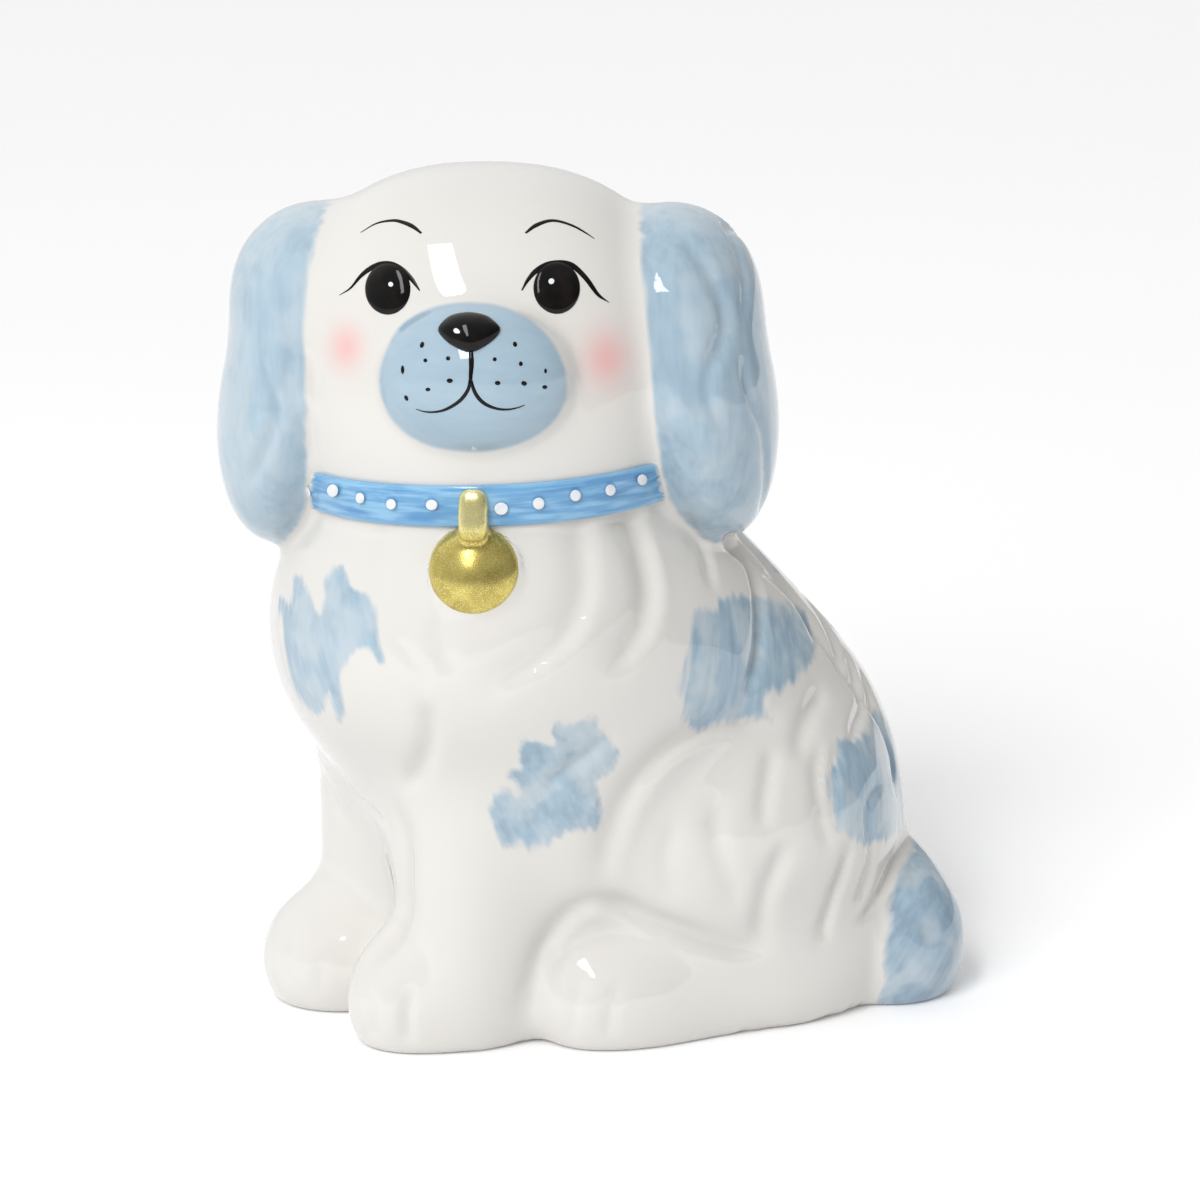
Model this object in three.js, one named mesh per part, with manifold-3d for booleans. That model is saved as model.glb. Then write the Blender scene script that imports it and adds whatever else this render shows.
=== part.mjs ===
// A seated ceramic spaniel money bank: one slip-cast hollow body with its head turned over the left
// shoulder, two long ears, a bushy tail, a raised muzzle with a nose, two eyes, a studded collar with a
// bell, and the soft bung that closes the emptying hole under the base.
// Millimetres. The body faces -Y, its left side is +X and it stands on z = 0.
import * as THREE from "three";
import { mergeVertices } from "three/addons/utils/BufferGeometryUtils.js";
import Module from "manifold-3d";

const wasm = await Module();
wasm.setup();

// Casting
const WALL = 4.2;
const FIT = 0.3;
const OVERCUT = 6;

// Body masses: centre, half lengths across, along and up, and how widely each blends into the others.
const SEAT = { at: [0, 24, 10], half: [46, 43, 24], blend: 8 };
const RUMP = { at: [0, 28, 36], half: [44, 42, 42], blend: 12 };
const BACK = { at: [0, 12, 50], half: [44, 48, 49], blend: 9 };
const CHEST = { at: [0, -24, 86], half: [51, 50, 43], blend: 14 };
const BELLY = { at: [0, -20, 50], half: [41, 33, 44], blend: 8 };
const APRON = { at: [0, -25, 14], half: [32, 24, 26], blend: 5 };
const HAUNCH = { at: [30, 16, 41], half: [24.5, 37, 31], blend: 2.5 };
const HOCK = { at: [31, 22, 10], half: [16, 28, 20], blend: 7 };
const HIND_FOOT = { at: [32, -5, 9], half: [15.5, 28, 18], blend: 3 };
const LEFT_PAW = { at: [12.5, -50, 9], half: [14.5, 17.5, 17], blend: 4 };
const RIGHT_PAW = { at: [-21, -52, 9], half: [17, 19, 17], blend: 4 };
const LEG_AT = [18, -41.5];
const LEG_HALF = [16.2, 16.2];
const LEG_BLEND = 4;
const LEG_OVERLAP = 5;

// Head, in its own frame: it faces -Y there, before it is turned.
const HEAD_TURN = 56;
const HEAD_AT = [0, -26, 146];
const SKULL_AT = [-1.4, 0, 0];
const SKULL_HALF = [42.5, 39, 38];
const SKULL_FULLNESS = 2.35;
const JAW = { at: [0, -8, -14], half: [35, 32, 24], blend: 8 };
const NECK_HALF = [36, 34, 28];
const NECK_BLEND = 8;
const SKULL_BLEND = 6;

// Muzzle and nose
const MUZZLE_HALF = [20.4, 14, 16.6];
const MUZZLE_SINK = 3;
const MUZZLE_BELOW_CROWN = 38.6;
const MUZZLE_BLEND = 2;
const NOSE_HALF = [6.4, 3.6, 3.4];
const NOSE_TIP_HALF = [3, 3, 3.4];
const NOSE_TIP_DROP = 2;
const NOSE_TIP_FORWARD = 1;
const NOSE_UP = 11.6;
const NOSE_BLEND = 2;

// Eyes
const EYE_HALF = [5.1, 1.3, 5.6];
const EYE_MIDDLE = -1;
const EYE_APART = 34;
const EYE_BELOW_CROWN = 21;

// Ears: each hangs from the side of the skull, flared a little outwards at its lower edge.
const EAR_HALF = [16.5, 30, 33.5];
const LEFT_EAR = { out: 0.6, back: -1, drop: 8, flare: 11 };
const RIGHT_EAR = { out: -1.4, back: -1, drop: 9.8, flare: 11 };
const EAR_ROOT = { inward: 6, up: 14, half: [17, 22, 15] };
const EAR_BLEND = 6;

// Tail, curled round the left of the rump
const TAIL_AT = [34, 53, 11];
const TAIL_HALF = [18.4, 17.4, 20];
const TAIL_TIP_SHIFT = [-6, 7, 8];
const TAIL_TIP_HALF = [7, 7, 12];
const TAIL_BLEND = 4;

// Collar and its bell
const COLLAR_BELOW_HEAD = 25.5;
const COLLAR_TILT = 2.3;
const COLLAR_BREADTH = 8.8;
const COLLAR_PROUD = 1.5;
const STUD_COUNT = 30;
const STUD_RADIUS = 1.15;
const STUD_PROUD = 0.5;
const BELL_RADIUS = 9.3;
const BELL_PROUD = 4.2;
const BELL_DROP = 13.2;
const STRAP_WIDTH = 6;
const STRAP_PROUD = 1.8;
const STRAP_INSET = 1;

// Coin slot through the upper back
const SLOT_LENGTH = 36;
const SLOT_WIDTH = 4.6;
const SLOT_Z = 94;
const SLOT_TILT = 45;

// Base: a foot rim round a shallow recess, and the emptying hole with its bung
const RIM_BREADTH = 9;
const RECESS = 3.6;
const HOLE_AT = [0, 4];
const HOLE_RADIUS = 15;
const PLUG_RISE = 7;
const PLUG_WALL = 2;
const PLUG_RIB = 0.7;
const PLUG_RIB_COUNT = 2;
const FLANGE_RADIUS = 18.5;
const FLANGE_THICKNESS = 1.6;
const TAB = { length: 16, width: 7, thickness: 1 };

// Fineness of the faceted surfaces
const SKIN_COLUMNS = 64;
const SKIN_ROWS = 29;
const CROWN_ROWS = 8;
const BAND_COLUMNS = 48;
const CAVITY_COLUMNS = 36;
const CAVITY_ROWS = 14;
const CAVITY_CROWN_ROWS = 5;
const EAR_COLUMNS = 26;
const TAIL_COLUMNS = 24;
const MUZZLE_COLUMNS = 26;
const BLOB_ROWS = 16;
const NOSE_COLUMNS = 18;
const NOSE_ROWS = 12;
const SPINE_FORWARD = 4;
const ROW_CROWDING = 1.25;
const REACH = 130;
const STEP = 2;
const HALVINGS = 16;

// Finishes
const WHITE_GLAZE = { color: 0xf1efeb, roughness: 0.12, metalness: 0 };
const PALE_BLUE_GLAZE = { color: 0xa9c8e4, roughness: 0.14, metalness: 0 };
const COLLAR_BLUE_GLAZE = { color: 0x6fa8dc, roughness: 0.14, metalness: 0 };
const BLACK_GLAZE = { color: 0x0d0c0c, roughness: 0.08, metalness: 0 };
const GOLD_LUSTRE = { color: 0xc9a94a, roughness: 0.35, metalness: 1 };
const BUNG_RUBBER = { color: 0xe9e7e0, roughness: 0.6, metalness: 0 };

// Frames
const BODY_FRAME = new THREE.Matrix4();
const HEAD_FRAME = new THREE.Matrix4()
  .makeTranslation(...HEAD_AT)
  .multiply(new THREE.Matrix4().makeRotationZ(THREE.MathUtils.degToRad(HEAD_TURN)));

// An ellipsoid of clay: its frame undone, its half lengths and the width of its blend.
function mass(frame, { at, half, blend, tilt = 0, fullness = 2 }) {
  const place = frame
    .clone()
    .multiply(new THREE.Matrix4().makeTranslation(...at))
    .multiply(new THREE.Matrix4().makeRotationY(THREE.MathUtils.degToRad(tilt)));
  return { undo: place.clone().invert(), half: new THREE.Vector3(...half), blend, fullness };
}

function mirrored(entry) {
  return { ...entry, at: [-entry.at[0], entry.at[1], entry.at[2]] };
}

const probe = new THREE.Vector3();

// How far a point lies outside an ellipsoid, near enough for a blend. A fullness over 2 squares it off.
function depthOf({ undo, half, fullness }, x, y, z) {
  probe.set(x, y, z).applyMatrix4(undo).divide(half);
  const [a, b, c] = [Math.abs(probe.x), Math.abs(probe.y), Math.abs(probe.z)];
  const reach = (a ** fullness + b ** fullness + c ** fullness) ** (1 / fullness);
  const edge = fullness - 1;
  const slope = Math.hypot(a ** edge / half.x, b ** edge / half.y, c ** edge / half.z);
  return slope < 1e-9 ? -half.x : ((reach - 1) * reach ** edge) / slope;
}

// Masses pressed together with a smooth fillet where they meet.
function blended(masses) {
  return (x, y, z) => {
    let depth = Infinity;
    for (const clay of masses) {
      const next = depthOf(clay, x, y, z);
      const width = clay.blend * 2;
      const share = Math.max(width - Math.abs(depth - next), 0) / width;
      depth = Math.min(depth, next) - (Number.isFinite(depth) ? (share * share * width) / 4 : 0);
    }
    return depth;
  };
}

// The outermost place along a ray where the clay's depth crosses a level.
function castRay(field, origin, direction, level, reach = REACH, step = STEP) {
  const depthAt = (t) =>
    field(origin.x + direction.x * t, origin.y + direction.y * t, origin.z + direction.z * t) - level;
  let outside = reach;
  while (outside > step && depthAt(outside - step) > 0) {
    outside -= step;
  }
  let inside = outside - step;
  for (let i = 0; i < HALVINGS; i += 1) {
    const middle = (inside + outside) / 2;
    if (depthAt(middle) > 0) {
      outside = middle;
    } else {
      inside = middle;
    }
  }
  return origin.clone().addScaledVector(direction, (inside + outside) / 2);
}

// A closed mesh from rings of points, with a point at each end.
function skinRings(rings, first, last) {
  const columns = rings[0].length;
  const points = [first, ...rings.flat(), last];
  const at = (row, column) => 1 + row * columns + (column % columns);
  const end = points.length - 1;
  const faces = [];
  for (let column = 0; column < columns; column += 1) {
    faces.push(0, at(0, column + 1), at(0, column));
    for (let row = 0; row < rings.length - 1; row += 1) {
      faces.push(at(row, column), at(row, column + 1), at(row + 1, column));
      faces.push(at(row, column + 1), at(row + 1, column + 1), at(row + 1, column));
    }
    faces.push(at(rings.length - 1, column), at(rings.length - 1, column + 1), end);
  }
  const geometry = new THREE.BufferGeometry();
  geometry.setAttribute("position", new THREE.Float32BufferAttribute(points.flatMap((p) => p.toArray()), 3));
  geometry.setIndex(faces);
  return geometry;
}

function toSolid(geometry) {
  const bare = geometry.clone();
  bare.deleteAttribute("normal");
  bare.deleteAttribute("uv");
  const merged = mergeVertices(bare, 1e-4);
  return new wasm.Manifold(
    new wasm.Mesh({
      numProp: 3,
      vertProperties: new Float32Array(merged.attributes.position.array),
      triVerts: new Uint32Array(merged.index.array),
    }),
  );
}

function toGeometry(solid) {
  const mesh = solid.getMesh();
  const geometry = new THREE.BufferGeometry();
  const places = new Float32Array(mesh.numVert * 3);
  for (let i = 0; i < mesh.numVert; i += 1) {
    places.set(mesh.vertProperties.subarray(i * mesh.numProp, i * mesh.numProp + 3), i * 3);
  }
  geometry.setAttribute("position", new THREE.BufferAttribute(places, 3));
  geometry.setIndex(Array.from(mesh.triVerts));
  geometry.computeVertexNormals();
  return geometry;
}

function boxSolid(size, matrix) {
  return toSolid(new THREE.BoxGeometry(...size).applyMatrix4(matrix));
}

// Body clay
const neckZ = (CHEST.at[2] + HEAD_AT[2]) / 2;
const leg = {
  at: [LEG_AT[0], LEG_AT[1], CHEST.at[2] / 2 - LEG_OVERLAP],
  half: [LEG_HALF[0], LEG_HALF[1], CHEST.at[2] / 2 + LEG_OVERLAP],
  blend: LEG_BLEND,
};
const skull = { at: SKULL_AT, half: SKULL_HALF, blend: SKULL_BLEND, fullness: SKULL_FULLNESS };
const bodyMasses = [SEAT, RUMP, BACK, CHEST, BELLY, APRON]
  .concat([{ at: [HEAD_AT[0], HEAD_AT[1], neckZ], half: NECK_HALF, blend: NECK_BLEND }])
  .concat([HAUNCH, mirrored(HAUNCH), HOCK, mirrored(HOCK), HIND_FOOT, mirrored(HIND_FOOT)])
  .concat([leg, mirrored(leg), LEFT_PAW, RIGHT_PAW])
  .map((entry) => mass(BODY_FRAME, entry))
  .concat([skull, JAW].map((entry) => mass(HEAD_FRAME, entry)));
const bodyField = blended(bodyMasses);

// The line inside the body that the rays start from: up the trunk, then forward into the neck and head.
function spineAt(z) {
  const trunkY = (SEAT.at[1] + BELLY.at[1]) / 2 - SPINE_FORWARD;
  const climb = THREE.MathUtils.smoothstep(z, BACK.at[2], neckZ);
  return new THREE.Vector3(0, THREE.MathUtils.lerp(trunkY, HEAD_AT[1], climb), z);
}

// The body's surface grown by some amount, from a flat bottom to the crown of the head.
function castSkin(grow, bottom = 0, columns = SKIN_COLUMNS, rows = SKIN_ROWS, crownRows = CROWN_ROWS) {
  const head = new THREE.Vector3(...HEAD_AT);
  const rings = [];
  const ringFrom = (origin, tilt) =>
    Array.from({ length: columns }, (_, column) => {
      const angle = (column / columns) * Math.PI * 2;
      const flat = Math.cos(tilt);
      const direction = new THREE.Vector3(Math.cos(angle) * flat, Math.sin(angle) * flat, Math.sin(tilt));
      return castRay(bodyField, origin, direction, grow);
    });
  for (let row = 0; row < rows; row += 1) {
    const z = bottom + (HEAD_AT[2] - bottom) * (row / rows) ** ROW_CROWDING;
    rings.push(ringFrom(spineAt(z), 0));
  }
  for (let row = 0; row < crownRows; row += 1) {
    rings.push(ringFrom(head, (row / crownRows) * (Math.PI / 2)));
  }
  const crown = castRay(bodyField, head, new THREE.Vector3(0, 0, 1), grow);
  return toSolid(skinRings(rings, spineAt(bottom), crown));
}

// A closed blob of blended masses, seen from a point inside it, grown by some amount.
function castBlob(field, frame, centre, grow, columns, rows) {
  const origin = new THREE.Vector3(...centre).applyMatrix4(frame);
  const castTo = (x, y, z) => {
    const direction = new THREE.Vector3(x, y, z).transformDirection(frame);
    return castRay(field, origin, direction, grow, REACH / 2, 1);
  };
  const rings = [];
  for (let row = 1; row < rows; row += 1) {
    const tilt = -Math.PI / 2 + (row / rows) * Math.PI;
    rings.push(
      Array.from({ length: columns }, (_, column) => {
        const angle = (column / columns) * Math.PI * 2;
        return castTo(Math.cos(angle) * Math.cos(tilt), Math.sin(angle) * Math.cos(tilt), Math.sin(tilt));
      }),
    );
  }
  return toSolid(skinRings(rings, castTo(0, 0, -1), castTo(0, 0, 1)));
}

// The collar's frame: level with the neck but for a slight rise to the dog's left.
const COLLAR_Z = HEAD_AT[2] - COLLAR_BELOW_HEAD;
const COLLAR_FRAME = new THREE.Matrix4()
  .makeTranslation(HEAD_AT[0], HEAD_AT[1], COLLAR_Z)
  .multiply(new THREE.Matrix4().makeRotationZ(THREE.MathUtils.degToRad(HEAD_TURN)))
  .multiply(new THREE.Matrix4().makeRotationY(THREE.MathUtils.degToRad(-COLLAR_TILT)));

// The slab that the collar lies in, grown by some clearance.
function collarSlab(grow) {
  const wide = REACH * 2;
  return boxSolid([wide, wide, COLLAR_BREADTH + grow * 2], COLLAR_FRAME);
}

const bodySkin = castSkin(0);
const bodySeat = castSkin(FIT);

// A point on the body's surface, looking out from the head's axis along its own facing.
function onHead(side, up) {
  const origin = new THREE.Vector3(side, 0, up).applyMatrix4(HEAD_FRAME);
  const facing = new THREE.Vector3(0, -1, 0).transformDirection(HEAD_FRAME);
  const surface = castRay(bodyField, origin, facing, 0);
  const nudge = 0.5;
  const slopeAlong = (x, y, z) =>
    bodyField(surface.x + x, surface.y + y, surface.z + z) -
    bodyField(surface.x - x, surface.y - y, surface.z - z);
  const normal = new THREE.Vector3(
    slopeAlong(nudge, 0, 0),
    slopeAlong(0, nudge, 0),
    slopeAlong(0, 0, nudge),
  ).normalize();
  return { surface, normal };
}

// A frame that stands on the surface: its -Y points out along the normal and its Z stays near upright.
function frameOn({ surface, normal }) {
  const out = normal.clone().negate();
  const across = new THREE.Vector3().crossVectors(out, new THREE.Vector3(0, 0, 1)).normalize();
  const up = new THREE.Vector3().crossVectors(across, out).normalize();
  return new THREE.Matrix4().makeBasis(across, out, up).setPosition(surface);
}

// Collar: a band that follows the neck, with a row of low studs.
function makeCollar() {
  const middle = new THREE.Vector3().setFromMatrixPosition(COLLAR_FRAME);
  let collar = castSkin(COLLAR_PROUD, 0, BAND_COLUMNS).intersect(collarSlab(0));
  for (let index = 1; index < STUD_COUNT; index += 1) {
    const angle = (index / STUD_COUNT) * Math.PI * 2 - Math.PI / 2;
    const across = new THREE.Vector3(Math.cos(angle), Math.sin(angle), 0);
    const direction = across.transformDirection(COLLAR_FRAME);
    const seat = castRay(bodyField, middle, direction, COLLAR_PROUD - STUD_PROUD);
    const stud = new THREE.SphereGeometry(STUD_RADIUS, 6, 4).translate(seat.x, seat.y, seat.z);
    collar = collar.add(toSolid(stud));
  }
  return collar.subtract(bodySeat);
}

// The room that the collar and its studs take, for what lies over them.
function collarRoom() {
  return castSkin(COLLAR_PROUD + STUD_RADIUS - STUD_PROUD + FIT).intersect(collarSlab(FIT));
}

// The bell hangs below the collar on the line of the face: a domed disc on a strap over the band.
function makeBell() {
  const facing = THREE.MathUtils.degToRad(HEAD_TURN) - Math.PI / 2;
  const direction = new THREE.Vector3(Math.cos(facing), Math.sin(facing), 0);
  const bellZ = COLLAR_Z - BELL_DROP;
  const seat = castRay(bodyField, spineAt(bellZ), direction, 0);
  const turn = new THREE.Matrix4().makeRotationZ(THREE.MathUtils.degToRad(HEAD_TURN));
  const dome = new THREE.SphereGeometry(1, 22, 14)
    .scale(BELL_RADIUS, BELL_PROUD, BELL_RADIUS)
    .applyMatrix4(turn)
    .translate(seat.x, seat.y, seat.z);
  const bandSeat = castRay(bodyField, spineAt(COLLAR_Z), direction, COLLAR_PROUD);
  const top = COLLAR_Z + COLLAR_BREADTH / 2 - STRAP_INSET;
  const bottom = bellZ + BELL_RADIUS / 2;
  const strap = new THREE.CylinderGeometry(1, 1, top - bottom, 12)
    .rotateX(Math.PI / 2)
    .scale(STRAP_WIDTH / 2, STRAP_PROUD, 1)
    .applyMatrix4(turn)
    .translate(bandSeat.x, bandSeat.y, (top + bottom) / 2);
  const band = castSkin(COLLAR_PROUD + FIT).intersect(collarSlab(FIT));
  return toSolid(dome).add(toSolid(strap)).subtract(bodySeat).subtract(band);
}

// An ear: a long lens of clay beside the skull and the root that joins it to the crown.
function makeEar(side, { out, back, drop, flare }) {
  const across = side * (SKULL_HALF[0] + out);
  const flap = { at: [across, back, -drop], half: EAR_HALF, blend: EAR_BLEND, tilt: -side * flare };
  const root = {
    at: [side * (SKULL_HALF[0] - EAR_ROOT.inward), 0, EAR_ROOT.up],
    half: EAR_ROOT.half,
    blend: EAR_BLEND,
  };
  const field = blended([flap, root].map((entry) => mass(HEAD_FRAME, entry)));
  return castBlob(field, HEAD_FRAME, flap.at, 0, EAR_COLUMNS, BLOB_ROWS)
    .subtract(bodySeat)
    .subtract(collarRoom());
}

function makeTail() {
  const tip = {
    at: TAIL_AT.map((value, axis) => value + TAIL_TIP_SHIFT[axis]),
    half: TAIL_TIP_HALF,
    blend: TAIL_BLEND,
  };
  const field = blended(
    [{ at: TAIL_AT, half: TAIL_HALF, blend: TAIL_BLEND }, tip].map((entry) => mass(BODY_FRAME, entry)),
  );
  const height = HEAD_AT[2];
  const lift = new THREE.Matrix4().makeTranslation(0, 0, height / 2);
  const above = boxSolid([REACH * 2, REACH * 2, height], lift);
  return castBlob(field, BODY_FRAME, TAIL_AT, 0, TAIL_COLUMNS, BLOB_ROWS)
    .intersect(above)
    .subtract(bodySeat);
}

// Muzzle and nose share the head's frame; the nose is carried by the muzzle.
const muzzleZ = SKULL_HALF[2] - MUZZLE_BELOW_CROWN;
const muzzleAt = [0, -(SKULL_HALF[1] - MUZZLE_SINK), muzzleZ];
const muzzleField = blended([
  mass(HEAD_FRAME, { at: muzzleAt, half: MUZZLE_HALF, blend: MUZZLE_BLEND }),
]);

function makeMuzzle() {
  return castBlob(muzzleField, HEAD_FRAME, muzzleAt, 0, MUZZLE_COLUMNS, BLOB_ROWS)
    .subtract(bodySeat)
    .subtract(collarRoom());
}

function makeNose() {
  const climb = NOSE_UP / MUZZLE_HALF[2];
  const front = muzzleAt[1] - MUZZLE_HALF[1] * Math.sqrt(1 - climb * climb);
  const padZ = muzzleZ + NOSE_UP;
  const pad = { at: [0, front, padZ], half: NOSE_HALF, blend: NOSE_BLEND };
  const tipAt = [0, front - NOSE_TIP_FORWARD, padZ - NOSE_TIP_DROP];
  const tip = { at: tipAt, half: NOSE_TIP_HALF, blend: NOSE_BLEND };
  const field = blended([pad, tip].map((entry) => mass(HEAD_FRAME, entry)));
  const muzzleSeat = castBlob(muzzleField, HEAD_FRAME, muzzleAt, FIT, MUZZLE_COLUMNS, BLOB_ROWS);
  return castBlob(field, HEAD_FRAME, pad.at, 0, NOSE_COLUMNS, NOSE_ROWS)
    .subtract(muzzleSeat)
    .subtract(bodySeat);
}

function makeEye(side) {
  const place = frameOn(onHead(EYE_MIDDLE + (side * EYE_APART) / 2, SKULL_HALF[2] - EYE_BELOW_CROWN));
  const dome = new THREE.SphereGeometry(1, 16, 10).scale(...EYE_HALF).applyMatrix4(place);
  return toSolid(dome).subtract(bodySeat);
}

// The coin slot: a round-ended cut through the upper back, square to its slope.
function slotCut() {
  const surface = castRay(bodyField, spineAt(SLOT_Z), new THREE.Vector3(0, 1, 0), 0);
  const round = SLOT_WIDTH / 2;
  const straight = SLOT_LENGTH / 2 - round;
  const outline = new THREE.Shape()
    .absarc(straight, 0, round, -Math.PI / 2, Math.PI / 2, false)
    .absarc(-straight, 0, round, Math.PI / 2, (Math.PI * 3) / 2, false)
    .closePath();
  const depth = (WALL + OVERCUT) * 2;
  const cutter = new THREE.ExtrudeGeometry(outline, { depth, bevelEnabled: false, curveSegments: 6 })
    .translate(0, 0, -depth / 2)
    .rotateZ(Math.PI / 2)
    .rotateX(THREE.MathUtils.degToRad(-SLOT_TILT))
    .translate(surface.x, surface.y, surface.z);
  return toSolid(cutter);
}

// The recess inside the foot rim, drawn in from the outline of the base.
function recessCut() {
  const lift = RECESS / 2;
  const origin = spineAt(lift);
  const ringAt = (z) =>
    Array.from({ length: SKIN_COLUMNS }, (_, column) => {
      const angle = (column / SKIN_COLUMNS) * Math.PI * 2;
      const direction = new THREE.Vector3(Math.cos(angle), Math.sin(angle), 0);
      const edge = castRay(bodyField, origin, direction, 0);
      return edge.addScaledVector(direction, -RIM_BREADTH).setZ(z);
    });
  const low = new THREE.Vector3(origin.x, origin.y, -OVERCUT);
  const high = new THREE.Vector3(origin.x, origin.y, RECESS);
  return toSolid(skinRings([ringAt(-OVERCUT), ringAt(RECESS)], low, high));
}

function makeBody() {
  const floorTop = RECESS + WALL;
  const cavity = castSkin(-WALL, floorTop, CAVITY_COLUMNS, CAVITY_ROWS, CAVITY_CROWN_ROWS);
  const hole = toSolid(
    new THREE.CylinderGeometry(HOLE_RADIUS, HOLE_RADIUS, (floorTop + OVERCUT) * 2, 40)
      .rotateX(Math.PI / 2)
      .translate(HOLE_AT[0], HOLE_AT[1], 0),
  );
  return bodySkin.subtract(cavity).subtract(hole).subtract(recessCut()).subtract(slotCut());
}

// The bung: a soft cup with ribs that grip the hole, a flange under the base and a tab to pull it by.
function makeStopper() {
  const flangeTop = RECESS - FIT;
  const flangeBottom = flangeTop - FLANGE_THICKNESS;
  const top = RECESS + WALL + PLUG_RISE;
  const grip = HOLE_RADIUS - FIT;
  const core = grip - PLUG_RIB;
  const profile = [new THREE.Vector2(0, flangeBottom), new THREE.Vector2(FLANGE_RADIUS, flangeBottom)];
  profile.push(new THREE.Vector2(FLANGE_RADIUS, flangeTop), new THREE.Vector2(core, flangeTop));
  const pitch = (top - flangeTop) / (PLUG_RIB_COUNT + 1);
  for (let rib = 1; rib <= PLUG_RIB_COUNT; rib += 1) {
    const crest = flangeTop + rib * pitch;
    profile.push(new THREE.Vector2(core, crest - PLUG_RIB), new THREE.Vector2(grip, crest));
    profile.push(new THREE.Vector2(core, crest + PLUG_RIB));
  }
  const bore = core - PLUG_WALL;
  const cupFloor = flangeTop + PLUG_WALL;
  profile.push(new THREE.Vector2(core, top), new THREE.Vector2(bore, top));
  profile.push(new THREE.Vector2(bore, cupFloor), new THREE.Vector2(0, cupFloor));
  const cup = new THREE.LatheGeometry(profile, 32).rotateX(Math.PI / 2).translate(HOLE_AT[0], HOLE_AT[1], 0);
  const tabHeight = TAB.thickness * 2;
  const tab = new THREE.BoxGeometry(TAB.length, TAB.width, tabHeight).translate(
    HOLE_AT[0],
    HOLE_AT[1],
    flangeBottom - TAB.thickness + tabHeight / 2,
  );
  return toSolid(cup).add(toSolid(tab));
}

const part = new THREE.Group();

function addPiece(name, solid, finish) {
  const piece = new THREE.Mesh(toGeometry(solid), new THREE.MeshStandardMaterial(finish));
  piece.name = name;
  part.add(piece);
}

addPiece("body_shell", makeBody(), WHITE_GLAZE);
addPiece("ear_left", makeEar(1, LEFT_EAR), PALE_BLUE_GLAZE);
addPiece("ear_right", makeEar(-1, RIGHT_EAR), PALE_BLUE_GLAZE);
addPiece("tail", makeTail(), PALE_BLUE_GLAZE);
addPiece("muzzle", makeMuzzle(), PALE_BLUE_GLAZE);
addPiece("nose", makeNose(), BLACK_GLAZE);
addPiece("eye_left", makeEye(1), BLACK_GLAZE);
addPiece("eye_right", makeEye(-1), BLACK_GLAZE);
addPiece("collar", makeCollar(), COLLAR_BLUE_GLAZE);
addPiece("bell", makeBell(), GOLD_LUSTRE);
addPiece("stopper", makeStopper(), BUNG_RUBBER);

// The origin is the middle of the base.
const bounds = new THREE.Box3().setFromObject(part);
const middle = bounds.getCenter(new THREE.Vector3());
part.position.set(-middle.x, -middle.y, -bounds.min.z);

export default part;
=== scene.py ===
"""The looks of a glazed ceramic spaniel bank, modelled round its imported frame.

Shapes are worked out in millimetres in the potter's frame, where the head turns about the line
x = 0, y = -26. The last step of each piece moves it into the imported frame, in metres.
"""
import logging
import math
from dataclasses import dataclass, field, replace
from enum import Enum
from functools import cached_property
from typing import Callable, Sequence

import bmesh
import bpy
import numpy as np
from mathutils import Matrix, Vector


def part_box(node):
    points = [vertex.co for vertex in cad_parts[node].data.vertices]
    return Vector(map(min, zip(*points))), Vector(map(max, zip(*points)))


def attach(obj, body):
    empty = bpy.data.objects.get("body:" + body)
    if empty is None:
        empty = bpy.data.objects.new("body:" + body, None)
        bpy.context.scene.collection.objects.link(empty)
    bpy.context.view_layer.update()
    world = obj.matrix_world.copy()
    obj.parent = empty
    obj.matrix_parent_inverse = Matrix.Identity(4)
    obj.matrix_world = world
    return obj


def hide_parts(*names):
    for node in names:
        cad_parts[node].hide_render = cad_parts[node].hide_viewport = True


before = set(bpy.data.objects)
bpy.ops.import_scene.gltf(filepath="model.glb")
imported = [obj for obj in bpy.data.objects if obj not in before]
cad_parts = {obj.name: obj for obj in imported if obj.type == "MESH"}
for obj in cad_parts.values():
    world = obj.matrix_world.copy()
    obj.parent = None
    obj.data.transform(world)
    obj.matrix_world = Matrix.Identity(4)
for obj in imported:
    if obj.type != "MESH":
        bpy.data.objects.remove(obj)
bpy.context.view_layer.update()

log = logging.getLogger("spaniel_bank")

Array = np.ndarray
Sheet = bmesh.types.BMesh
Mesh = bpy.types.Mesh
Thing = bpy.types.Object
Material = bpy.types.Material
Socket = bpy.types.NodeSocket
Point = tuple[float, float, float]
Pixel = tuple[float, float]

MM = 0.001
BANK = "bank"
BUNG = "bung"

# The turned head
HEAD_TURN = 56.0
HEAD_AT = (0.0, -26.0, 146.0)
SKULL_HALF = (42.5, 39.0, 38.0)

# Casting
WALL = 4.2
RECESS = 3.6
RIM_BREADTH = 9.0
HOLE_AT = (0.0, 4.0)
HOLE_RADIUS = 15.0
SLOT_LENGTH = 36.0
SLOT_WIDTH = 4.6
SLOT_Z = 94.0
SLOT_TILT = 45.0

# Collar and bell
COLLAR_Z = 120.5
COLLAR_TILT = 2.3
COLLAR_BREADTH = 8.8
COLLAR_PROUD = 1.5
STUD_COUNT = 30
BELL_RADIUS = 9.3
BELL_PROUD = 5.2
BELL_DROP = 13.2
BELL_PITCH = -20.0
BELL_ASIDE = 1.0
BELL_BEARING = HEAD_TURN - 90.0

# Rays aimed at the body's axis, which leans forwards under the head
FAR = 120.0
AXIS_Y = -2.0
LEAN_BETWEEN = (50.0, 116.0)


def unit(vectors: Array) -> Array:
    """Gives vectors a length of one."""
    vectors = np.asarray(vectors, float)
    return vectors / np.maximum(np.linalg.norm(vectors, axis=-1, keepdims=True), 1e-12)


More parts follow.
